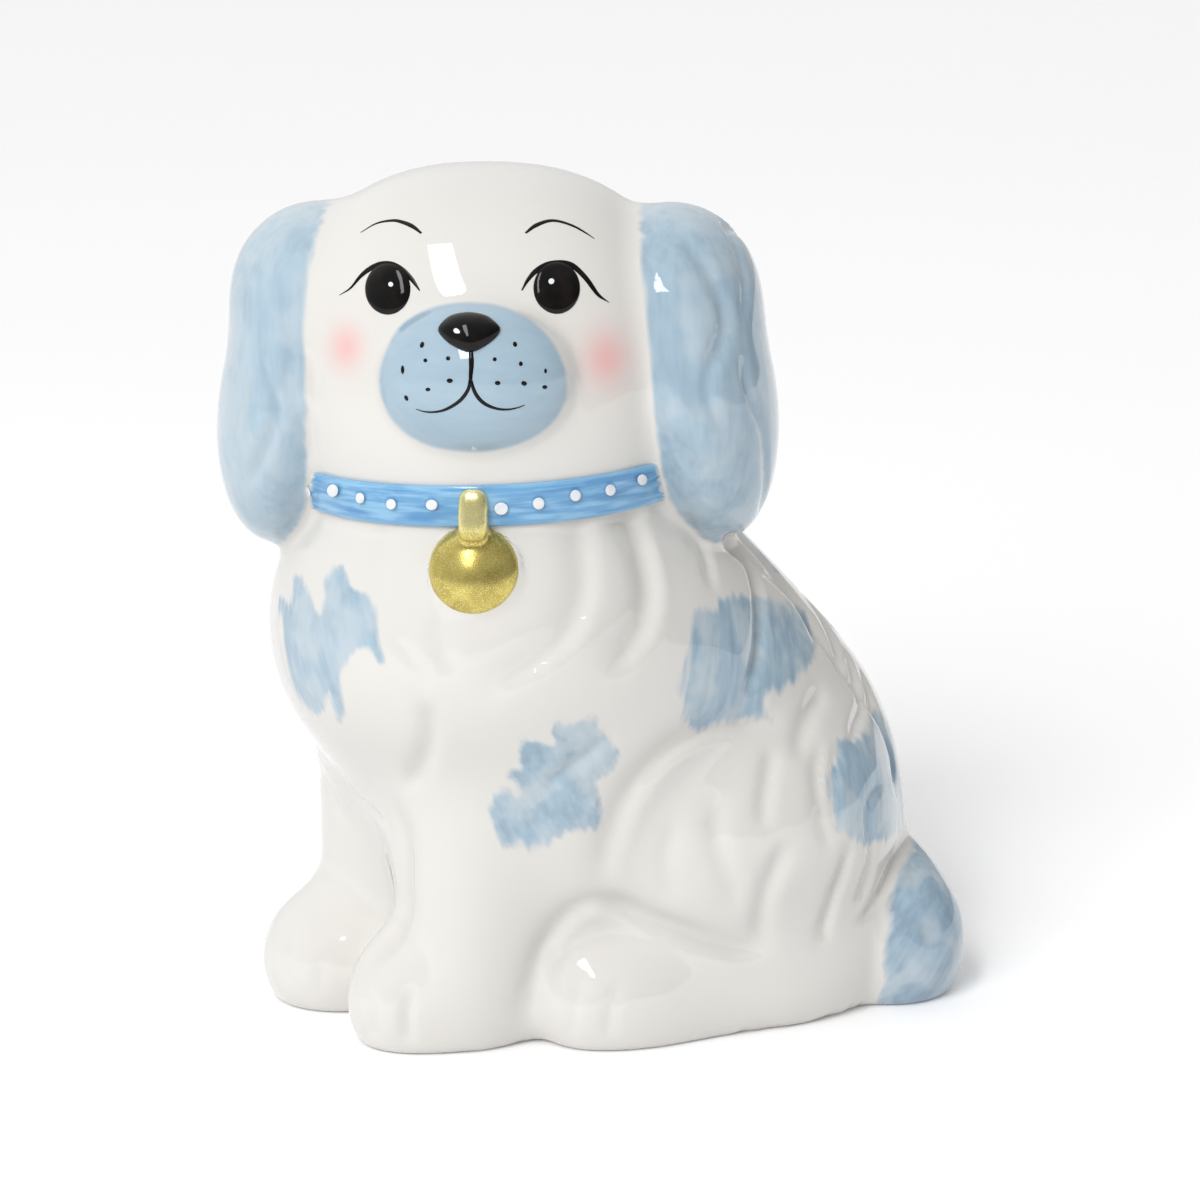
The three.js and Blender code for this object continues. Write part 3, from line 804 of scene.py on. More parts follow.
    def blank(self) -> Mesh:
        """Joins every lump into one even skin with a flat foot.

        Returns:
            The skin, not yet carved or hollowed.
        """
        sheet = bmesh.new()
        clays = (self.clay, *self.ears.values(), self.tail, self.muzzle, self.mound)
        for lump in (lump for clay in clays for lump in clay.lumps):
            lump.add_to(sheet)
        level_foot(sheet, 0.0)
        return fused(sheet, self.voxel * (1.0))

    def carve(self, mesh: Mesh) -> None:
        """Settles the skin on the clay, evens it out and presses the grooves into it.

        Args:
            mesh: The blank skin, which is changed.
        """
        points = settle(self.whole, points_of(mesh), 0.0, 5)
        for _ in range(2):
            put_points(mesh, points)
            evened(mesh)
            points = settle(self.whole, points_of(mesh), 0.0, 2)
        normals = unit(slope_of(self.whole, points))
        points = points - normals * self.relief(points, normals)[:, None]
        points[:, 2] = np.maximum(points[:, 2], 0.0)
        put_points(mesh, points)
        for _ in range(self.polish):
            evened(mesh)

    def routes(self) -> list[tuple[Groove, Array, Array]]:
        """Lays every groove on the clay, with its echoes out of the photograph's sight.

        Returns:
            Each groove with its places and the ways out of the clay there.
        """
        laid = []
        for traced in Traced:
            grooves = [groove for groove in GROOVES if groove.traced is traced]
            lines = np.vstack([smooth_line(groove.line, ROUTE_POINTS) for groove in grooves])
            if traced is Traced.PHOTO:
                places = PHOTO.strike(self.whole, lines)
            else:
                places = strike_round(self.whole, lines[:, 0], lines[:, 1])
            laid += zip(grooves, np.split(places, len(grooves)))
        for echo, (home, flip) in ECHOES.items():
            repeated = [(groove, places) for groove, places in laid if groove.echo is echo]
            moved = self.echoed(np.vstack([places for _, places in repeated]), home, flip)
            laid += zip([groove for groove, _ in repeated], np.split(moved, len(repeated)))
        outs = unit(slope_of(self.whole, np.vstack([places for _, places in laid])))
        return [(groove, places, out) for (groove, places), out in zip(laid, np.split(outs, len(laid)))]

    def echoed(self, places: Array, home: Home, flip: Point) -> Array:
        """Repeats a line across a plane of a frame.

        Args:
            places: The line.
            home: The frame whose plane it crosses.
            flip: The signs of x, y and z there.

        Returns:
            The line on the other side, on the clay.
        """
        frame_in = np.array(home.matrix())
        local = (places - frame_in[:3, 3]) @ frame_in[:3, :3]
        moved = (local * np.array(flip)) @ frame_in[:3, :3].T + frame_in[:3, 3]
        return settle(self.whole, moved, 0.0, 12)

    def relief(self, points: Array, normals: Array) -> Array:
        """Tells how deep the grooves press at points of the skin.

        Args:
            points: Rows of x, y, z on the clay.
            normals: The ways out of the clay there.

        Returns:
            The depth of the grooves at each point.
        """
        total = np.zeros(len(points))
        for groove, places, outs in self.laid:
            margin = 2.0 * max(groove.left, groove.right) + 2.0
            low, high = places.min(0) - margin, places.max(0) + margin
            near = np.flatnonzero(np.all((points > low) & (points < high), axis=1))
            if len(near):
                total[near] += pressed(groove, places, outs, points[near], normals[near])
        return total

    def hollow(self, mesh: Mesh) -> Mesh:
        """Cuts the room for coins, the recess, the emptying hole and the coin slot.

        Args:
            mesh: The carved skin.

        Returns:
            The cast shell, whose cut faces have the second material.
        """
        tools = [self.room(), self.recess(), self.hole(), self.slot()]
        shell = cut_with(mesh, tools)
        sheet = bmesh.new()
        sheet.from_mesh(shell)
        rim = {v for e in sheet.edges if len({f.material_index for f in e.link_faces}) > 1 for v in e.verts}
        rim |= {other for v in rim for e in v.link_edges for other in e.verts if e.calc_length() < self.voxel}
        lifted = [v for v in rim if v.co.z > 0.0 or any(f.material_index for f in v.link_faces)]
        for _ in range(4):
            relax(sheet, lifted)
        sheet.to_mesh(shell)
        sheet.free()
        return shell

    def room(self) -> Sheet:
        """Shapes the room inside: each lump drawn in by the wall, over the floor.

        Returns:
            The room, a closed solid.
        """
        sheet = bmesh.new()
        for lump in self.clay.lumps:
            replace(lump, half=tuple(value - WALL for value in lump.half)).add_to(sheet)
        level_foot(sheet, RECESS + WALL)
        inner = bmesh.new()
        inner.from_mesh(fused(sheet, self.room_voxel))
        for _ in range(3):
            relax(inner, inner.verts, upright=False)
        return inner

    def recess(self) -> Sheet:
        """Shapes the shallow recess inside the foot rim.

        Returns:
            The recess, a closed solid.
        """
        sheet = bmesh.new()
        made = bmesh.ops.create_circle(sheet, cap_ends=True, segments=120, radius=1.0)["verts"]
        bearings = np.degrees([math.atan2(vert.co.y, vert.co.x) for vert in made])
        heights = np.full(len(made), RECESS / 2.0)
        starts, ways = round_axis(bearings, heights)
        edge = strike(self.bare, starts, ways, FAR) + ways * RIM_BREADTH
        for vert, place in zip(made, edge):
            vert.co = (place[0], place[1], -self.tool_clear)
        thicken(sheet, Vector((0.0, 0.0, RECESS + self.tool_clear)))
        return sheet

    def hole(self) -> Sheet:
        """Shapes the round emptying hole.

        Returns:
            The hole, a closed solid.
        """
        sheet = bmesh.new()
        middle = Matrix.Translation((*HOLE_AT, 0.0))
        radius, depth = HOLE_RADIUS, 26.0
        bmesh.ops.create_cone(
            sheet, cap_ends=True, segments=96, radius1=radius, radius2=radius, depth=depth, matrix=middle
        )
        return sheet

    def slot_frame(self) -> Matrix:
        """Returns the coin slot's frame: its length along X, and its Z square out of the back."""
        seat = Vector(strike_round(self.bare, 90.0, SLOT_Z)[0])
        return Matrix.Translation(seat) @ turned(-SLOT_TILT, "X") @ turned(90.0, "Z")

    def slot(self) -> Sheet:
        """Shapes the round-ended coin slot.

        Returns:
            The slot, a closed solid.
        """
        sheet = bmesh.new()
        segments = 48
        half_step = Matrix.Rotation(math.pi / segments, 4, "Z")
        made = bmesh.ops.create_circle(
            sheet, cap_ends=True, segments=segments, radius=SLOT_WIDTH / 2.0, matrix=half_step
        )["verts"]
        for vert in made:
            vert.co.x += math.copysign((SLOT_LENGTH - SLOT_WIDTH) / 2.0, vert.co.x)
            vert.co.z = -WALL - self.tool_clear
        thicken(sheet, Vector((0.0, 0.0, 2.0 * (WALL + self.tool_clear))))
        bmesh.ops.transform(sheet, matrix=self.slot_frame(), verts=sheet.verts)
        return sheet

    def paint(self, mesh: Mesh) -> None:
        """Writes where the brush went on the skin, for the glaze to read.

        Args:
            mesh: The cast shell.
        """
        points = points_of(mesh)
        normals = unit(slope_of(self.whole, points))
        bare = self.bare(points)
        pixels = PHOTO.pixels(points)
        marks = {"blue": -20.0, "soft": 0.5, "ragged": 0.0, "load": 0.0, "blush": 0.0}
        marks = {name: np.full(len(points), start) for name, start in marks.items()}
        way = np.tile(np.array([0.0, 0.0, 1.0]), (len(points), 1))

        def lay(inside: Array, brush: Array, soft: float, ragged: float, load: float) -> None:
            """Lays a region over what is there wherever it reaches further.

            Args:
                inside: Millimetres inside the region's edge.
                brush: The way of the brush.
                soft: How broad its edge is.
                ragged: How far its edge wanders.
                load: How much colour the brush held.
            """
            wins = inside > marks["blue"]
            way[wins] = brush[wins] if brush.ndim > 1 else brush
            for name, value in (("blue", inside[wins]), ("soft", soft), ("ragged", ragged), ("load", load)):
                marks[name][wins] = value

        inset = 1.0
        for side, ear in self.ears.items():
            lay((bare - ear.depth(points)) - inset, PHOTO.along((0.06, 1.0)), 1.2, 0.26, EAR_LOADS[side])
        gap = ramp(np.linalg.norm((pixels - TAIL_GAP[0]) / TAIL_GAP[1], axis=1), 0.7, 1.3)
        tail = (bare - self.tail.depth(points)) - inset - TAIL_GAP_FADE * (1.0 - gap)
        lay(tail, PHOTO.along((0.55, -0.83)), 1.4, 0.4, 0.1)
        for patch in PATCHES:
            lay(*self.patch_reach(patch, points, normals), patch.soft, patch.ragged, patch.load)
        facing = ramp(normals @ PHOTO.axes()[2], 0.0, 0.3)
        for middle, spread, strength in CHEEKS:
            off = (pixels - np.array(middle)) / np.array(spread)
            marks["blush"] += strength * np.exp(-0.5 * np.sum(off * off, axis=1)) * facing
        for name, values in marks.items():
            write(mesh, name, values)
        write(mesh, "deep", self.relief(points, normals))
        along = np.sum(points * way, axis=1, keepdims=True)
        write(mesh, "brush", points - BRUSH_DRAWN * along * way)

    def patch_reach(self, patch: Patch, points: Array, normals: Array) -> tuple[Array, Array]:
        """Tells how far inside a patch points of the skin lie.

        Args:
            patch: The brushed patch.
            points: Rows of x, y, z on the skin.
            normals: The ways out of the skin there.

        Returns:
            Millimetres inside the outline, and the brush's direction.
        """
        outline = smooth_line(patch.outline, 3 * len(patch.outline), closed=True)
        if patch.traced is Traced.PHOTO:
            scale = PHOTO.distance / PHOTO.focal
            away = np.maximum(-(normals @ PHOTO.axes()[2]), 0.0)
            inside = inside_by(outline * scale, PHOTO.pixels(points) * scale)
            return inside - PATCH_FADE_BEHIND * away, PHOTO.along(patch.brush)
        arc = 0.8
        bearing = np.degrees(np.arctan2(points[:, 1] - axis_y(points[:, 2]), points[:, 0])) % 360.0
        inside = inside_by(outline * (arc, 1.0), np.stack([bearing * arc, points[:, 2]], axis=1))
        out = outward(np.radians(bearing))
        round_way = np.cross((0.0, 0.0, 1.0), out)
        brush = unit(patch.brush[0] * round_way + patch.brush[1] * np.array([0.0, 0.0, -1.0]))
        facing = ramp(np.sum(normals * out, axis=1), 0.0, 0.3)
        return inside - PATCH_FADE_ROUND * (1.0 - facing), brush

    def build(self) -> Thing:
        """Casts, hollows, paints and glazes the bank.

        Returns:
            The casting.
        """
        mesh = self.blank()
        self.carve(mesh)
        shell = self.hollow(mesh)
        self.paint(shell)
        piece = placed("glazed_casting", shell, [Glaze("white_glaze").material(), BISCUIT.material()])
        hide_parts("body_shell", "ear_left", "ear_right", "tail", "muzzle")
        return ridden(piece, BANK)


def pressed(groove: Groove, places: Array, outs: Array, points: Array, normals: Array) -> Array:
    """Tells how deep one groove presses at points.

    Its left and right are the reader's, where the line runs down the page.

    Args:
        groove: The groove.
        places: Its line on the clay.
        outs: The ways out of the clay along it.
        points: Rows of x, y, z near it.
        normals: The ways out of the clay at the points.

    Returns:
        The groove's depth at each point.
    """
    run = np.concatenate([[0.0], np.cumsum(np.linalg.norm(np.diff(places, axis=0), axis=1))])
    ways = unit(np.gradient(places, axis=0))
    sides = unit(np.cross(outs, ways))
    gaps = np.linalg.norm(points[:, None, :] - places[None, :, :], axis=2)
    nearest = gaps.argmin(axis=1)
    off = points - places[nearest]
    across = np.sum(off * sides[nearest], axis=1)
    along = np.sum(off * ways[nearest], axis=1)
    above = np.abs(np.sum(off * outs[nearest], axis=1))
    share = (run[nearest] + along) / run[-1]
    ends = ramp(share, 0.0, FULL_BETWEEN[0]) * (1.0 - ramp(share, FULL_BETWEEN[1], 1.0))
    bend = BEND_AT * np.where(across < 0.0, groove.left, groove.right)
    steep, gentle = sorted((groove.left, groove.right))
    beyond = across if groove.right < groove.left else -across
    crest = (np.maximum(beyond, 0.0) / (CREST_AT * steep)) ** 2
    lip = LIP * (1.0 - steep / gentle) * crest * np.exp(1.0 - crest) * np.sin(np.pi * share) ** 2
    facing = ramp(np.sum(normals * outs[nearest], axis=1), 0.0, 0.4)
    near = 1.0 - ramp(above, *FADE_ABOVE)
    return PRESS * groove.depth * (np.exp(-((across / bend) ** 2)) - lip) * ends * facing * near


def inside_by(outline: Array, places: Array) -> Array:
    """Tells how far inside a closed outline places lie.

    Args:
        outline: The outline's corners.
        places: Rows of places in the same plane.

    Returns:
        The distance to the outline, positive inside.
    """
    nearest = np.full(len(places), np.inf)
    inside = np.zeros(len(places), bool)
    for start, end in zip(outline, np.roll(outline, -1, axis=0)):
        edge = end - start
        share = np.clip((places - start) @ edge / (edge @ edge), 0.0, 1.0)
        nearest = np.minimum(nearest, np.linalg.norm(places - start - share[:, None] * edge, axis=1))
        spans = (start[1] > places[:, 1]) != (end[1] > places[:, 1])
        rise = edge[1] if abs(edge[1]) > 1e-12 else 1e-12
        crossing = start[0] + (places[:, 1] - start[1]) / rise * edge[0]
        inside ^= spans & (places[:, 0] < crossing)
    return np.where(inside, nearest, -nearest)


def points_of(mesh: Mesh) -> Array:
    """Reads a mesh's places.

    Args:
        mesh: The mesh.

    Returns:
        A row for each point.
    """
    flat = np.empty(len(mesh.vertices) * 3)
    mesh.vertices.foreach_get("co", flat)
    return flat.reshape(-1, 3)


def put_points(mesh: Mesh, points: Array) -> None:
    """Writes a mesh's places."""
    mesh.vertices.foreach_set("co", np.asarray(points, float).ravel())
    mesh.update()


def write(mesh: Mesh, name: str, values: Array) -> None:
    """Writes a value or a vector for every point of a mesh.

    Args:
        mesh: The mesh that takes them.
        name: The attribute's name.
        values: One value, or one row of three, for each point.
    """
    if values.ndim == 1:
        mesh.attributes.new(name, "FLOAT", "POINT").data.foreach_set("value", values.astype(np.float32))
    else:
        made = mesh.attributes.new(name, "FLOAT_VECTOR", "POINT")
        made.data.foreach_set("vector", values.astype(np.float32).ravel())


def level_foot(sheet: Sheet, height: float) -> None:
    """Cuts a mesh flat at a height and closes what the cut opened.

    Args:
        sheet: The mesh, which keeps what lies above.
        height: Where to cut.
    """
    everything = [*sheet.verts, *sheet.edges, *sheet.faces]
    bmesh.ops.bisect_plane(
        sheet, geom=everything, dist=1e-4, plane_co=(0, 0, height), plane_no=(0, 0, 1), clear_inner=True
    )
    bmesh.ops.holes_fill(sheet, edges=[edge for edge in sheet.edges if edge.is_boundary], sides=0)


def thicken(sheet: Sheet, way: Vector) -> None:
    """Draws a flat face out into a solid.

    Args:
        sheet: The mesh that holds the face.
        way: How far and which way to draw it.
    """
    drawn = bmesh.ops.extrude_face_region(sheet, geom=sheet.faces[:], use_keep_orig=True)["geom"]
    moved = [item for item in drawn if isinstance(item, bmesh.types.BMVert)]
    bmesh.ops.translate(sheet, verts=moved, vec=way)
    bmesh.ops.recalc_face_normals(sheet, faces=sheet.faces)


def spun(sheet: Sheet, middle: Point, steps: int) -> None:
    """Turns a section all round an upright axis.

    Args:
        sheet: The mesh, which holds the section alone.
        middle: A place on the axis.
        steps: How many faces there are to the turn.
    """
    section = [*sheet.verts, *sheet.edges]
    bmesh.ops.spin(
        sheet, geom=section, cent=middle, axis=(0, 0, 1), angle=2.0 * math.pi, steps=steps, use_merge=True
    )


def softened(
    sheet: Sheet, edges: Sequence[bmesh.types.BMEdge], radius: float, segments: int = 3, clamp: bool = False
) -> None:
    """Rounds edges off.

    Args:
        sheet: The mesh, which is changed.
        edges: The edges.
        radius: How far the rounding reaches from each edge.
        segments: How many faces there are across it.
        clamp: Whether to stop where two roundings would meet.
    """
    bmesh.ops.bevel(
        sheet, geom=edges, offset=radius, segments=segments, profile=0.5, affect="EDGES", material=-1,
        clamp_overlap=clamp,
    )


def relax(sheet: Sheet, verts: Sequence[bmesh.types.BMVert], upright: bool = True) -> None:
    """Draws places halfway to the middle of their neighbours."""
    bmesh.ops.smooth_vert(
        sheet, verts=verts, factor=0.5, use_axis_x=True, use_axis_y=True, use_axis_z=upright
    )


def evened(mesh: Mesh) -> None:
    """Relaxes a mesh once, so that its faces keep an even size.

    Args:
        mesh: The mesh, which is changed.
    """
    sheet = bmesh.new()
    sheet.from_mesh(mesh)
    relax(sheet, sheet.verts)
    sheet.to_mesh(mesh)
    sheet.free()


def in_scene(name: str, data: bpy.types.ID) -> Thing:
    """Puts a mesh, a light or a camera in the scene.

    Args:
        name: What to call the object.
        data: What it holds.

    Returns:
        The object.
    """
    thing = bpy.data.objects.new(name, data)
    bpy.context.scene.collection.objects.link(thing)
    return thing


def held(name: str, sheet: Sheet) -> Thing:
    """Puts a mesh in the scene for as long as a modifier needs it.

    Args:
        name: What to call it.
        sheet: The mesh, which is used up.

    Returns:
        The object that holds it.
    """
    mesh = bpy.data.meshes.new(name)
    sheet.to_mesh(mesh)
    sheet.free()
    return in_scene(name, mesh)


def fused(sheet: Sheet, voxel: float) -> Mesh:
    """Joins overlapping closed shells into one skin of even faces.

    Args:
        sheet: The shells, which are used up.
        voxel: The size of a face.

    Returns:
        The joined skin.
    """
    holder = held("lumps", sheet)
    step = holder.modifiers.new("Join", "REMESH")
    step.mode = "VOXEL"
    step.voxel_size = voxel
    step.adaptivity = 0.0
    graph = bpy.context.evaluated_depsgraph_get()
    joined = bpy.data.meshes.new_from_object(holder.evaluated_get(graph))
    bpy.data.objects.remove(holder)
    return joined


def cut_with(mesh: Mesh, tools: Sequence[Sheet]) -> Mesh:
    """Cuts solids out of a closed mesh. The cut faces take the second material.

    Args:
        mesh: The closed mesh.
        tools: The solids, which are used up.

    Returns:
        What is left of the mesh.
    """
    holder = in_scene("blank", mesh)
    blank_materials(mesh)
    cutters = []
    for index, tool in enumerate(tools):
        for face in tool.faces:
            face.material_index = 1
        cutter = held(f"tool_{index}", tool)
        blank_materials(cutter.data)
        step = holder.modifiers.new("Cut", "BOOLEAN")
        step.operation = "DIFFERENCE"
        step.solver = "EXACT"
        step.material_mode = "INDEX"
        step.object = cutter
        cutters.append(cutter)
    graph = bpy.context.evaluated_depsgraph_get()
    left = bpy.data.meshes.new_from_object(holder.evaluated_get(graph))
    for done in (holder, *cutters):
        bpy.data.objects.remove(done)
    return left


def blank_materials(mesh: Mesh) -> None:
    """Gives a mesh two empty material slots."""
    while len(mesh.materials) < 2:
        mesh.materials.append(None)


def to_frame() -> Matrix:
    """Works out the step from the potter's frame, in millimetres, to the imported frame, in metres.

    Returns:
        The shift and the scale.
    """
    low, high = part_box("stopper")
    middle = (low + high) / 2.0
    shift = Vector((middle.x - HOLE_AT[0] * MM, middle.y - HOLE_AT[1] * MM, 0.0))
    return Matrix.Translation(shift) @ Matrix.Scale(MM, 4)


def placed(name: str, mesh: Mesh, materials: Sequence[Material]) -> Thing:
    """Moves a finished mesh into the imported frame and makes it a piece.

    Args:
        name: The piece's name.
        mesh: Its mesh, in the potter's frame.
        materials: Its finishes, by material index.

    Returns:
        The piece, at the origin, with its place in its mesh.
    """
    mesh.transform(to_frame())
    mesh.materials.clear()
    for material in materials:
        mesh.materials.append(material)
    mesh.shade_smooth()
    mesh.name = name
    return in_scene(name, mesh)


def ridden(piece: Thing, body: str) -> Thing:
    """Fastens a piece to a body.

    Args:
        piece: The piece.
        body: The body that carries it.

    Returns:
        The piece.
    """
    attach(piece, body)
    log.info("%s: %d points on %s", piece.name, len(piece.data.vertices), body)
    return piece


@dataclass(frozen=True)
class Daub:
    """A spot of thick colour, in pixels: its middle, its half sizes and its lean in degrees.

    An outline round the middle, where it has one, stands for the half sizes.
    """

    middle: Pixel
    half: Pixel = (1.0, 1.0)
    lean: float = 0.0
    outline: tuple[Pixel, ...] = ()

    def rim(self, turn: Array) -> Array:
        """Tells where the rim lies from the middle.

        Args:
            turn: Directions from the middle, in radians.

        Returns:
            Rows of pixels, across and down.
        """
        if self.outline:
            line = smooth_line(self.outline, 120, closed=True) - np.array(self.middle)
            angles = np.arctan2(line[:, 1], line[:, 0])
            order = np.argsort(angles)
            reach = np.interp(turn, angles[order], np.linalg.norm(line, axis=1)[order], period=2.0 * math.pi)
            return reach[:, None] * np.stack([np.cos(turn), np.sin(turn)], axis=1)
        cos, sin = math.cos(math.radians(self.lean)), math.sin(math.radians(self.lean))
        across, down = np.cos(turn) * self.half[0], np.sin(turn) * self.half[1]
        return np.stack([across * cos - down * sin, across * sin + down * cos], axis=1)

    def pressed_on(self, depth: Depth, proud: float, level: float = 0.0, rings: int = 10) -> Sheet:
        """Presses the spot on a form where the photograph shows it.

        Args:
            depth: The form.
            proud: How far its middle stands up.
            level: The depth of the surface that it lies on.
            rings: How many rings of faces it has.

        Returns:
            The spot, a closed dome that is sunk a little into the form.
        """
        sheet, ball = domed_ball(rings)
        reach = np.linalg.norm(ball[:, :2], axis=1)
        pixels = np.array(self.middle) + reach[:, None] * self.rim(np.arctan2(ball[:, 1], ball[:, 0]))
        seats = PHOTO.lay(depth, pixels, level)
        set_points(sheet, seats + unit(slope_of(depth, seats)) * rise(ball, proud)[:, None])
        bmesh.ops.recalc_face_normals(sheet, faces=sheet.faces)
        return sheet


@dataclass(frozen=True)
class Stroke:
    """A brushed line, in pixels: its places, and its breadth along it."""

    line: tuple[Pixel, ...]
    breadths: tuple[float, ...]

    def brushed_on(self, depth: Depth, proud: float, level: float = 0.0) -> Sheet:
        """Lays the line on a form where the photograph shows it.

        Args:
            depth: The form.
            proud: How far the colour stands up.
            level: The depth of the surface that it lies on.

        Returns:
            The line, a closed flat tube that is sunk a little into the form.
        """
        stations = 44
        places = PHOTO.lay(depth, smooth_line(self.line, stations), level)
        outs = unit(slope_of(depth, places))
        sides = unit(np.cross(outs, np.gradient(places, axis=0)))
        share = np.linspace(0.0, 1.0, stations)
        breadth = np.interp(share, np.linspace(0.0, 1.0, len(self.breadths)), self.breadths)
        half = breadth * PHOTO.grain(places) / 2.0
        sheet = bmesh.new()
        bmesh.ops.create_cone(sheet, cap_ends=True, segments=12, radius1=1.0, radius2=1.0, depth=2.0)
        long = [edge for edge in sheet.edges if edge.calc_length() > 1.5]
        bmesh.ops.subdivide_edges(sheet, edges=long, cuts=stations - 2, use_grid_fill=True)
        tube = np.array([vert.co for vert in sheet.verts])
        at = np.rint((tube[:, 2] + 1.0) / 2.0 * (stations - 1)).astype(int)
        lift = np.where(tube[:, 1] > 0.0, proud, PAINT_SUNK) * tube[:, 1]
        points = places[at] + sides[at] * (tube[:, 0] * half[at])[:, None] + outs[at] * lift[:, None]
        set_points(sheet, points)
        bmesh.ops.recalc_face_normals(sheet, faces=sheet.faces)
        return sheet


# How far paint stands up, how far its edge is sunk, and how deep it is bedded on a dome
PAINT_PROUD = 0.1
PAINT_SUNK = 0.3
PAINT_BEDDED = 0.08


def domed_ball(rings: int) -> tuple[Sheet, Array]:
    """Starts a spot as a ball of radius one.

    Args:
        rings: How many rings of faces it has.

    Returns:
        The ball, and its places.
    """
    sheet = bmesh.new()
    bmesh.ops.create_uvsphere(sheet, u_segments=2 * rings, v_segments=rings, radius=1.0)
    return sheet, np.array([vert.co for vert in sheet.verts])


def rise(ball: Array, proud: float) -> Array:
    """Tells how high each place of a ball stands once it is pressed on a form."""
    return ball[:, 2] * np.where(ball[:, 2] > 0.0, proud, PAINT_SUNK)


def set_points(sheet: Sheet, points: Array) -> None:
    """Moves a mesh's places."""
    for vert, point in zip(sheet.verts, points):
        vert.co = point


def gathered(name: str, sheets: Sequence[Sheet]) -> Mesh:
    """Brings several meshes together in one.

    Args:
        name: What to call it.
        sheets: The meshes, which are used up.

    Returns:
        The one mesh.
    """
    total = bmesh.new()
    for sheet in sheets:
        share = bpy.data.meshes.new("share")
        sheet.to_mesh(share)
        sheet.free()
        total.from_mesh(share)
        bpy.data.meshes.remove(share)
    mesh = bpy.data.meshes.new(name)
    total.to_mesh(mesh)
    total.free()
    return mesh


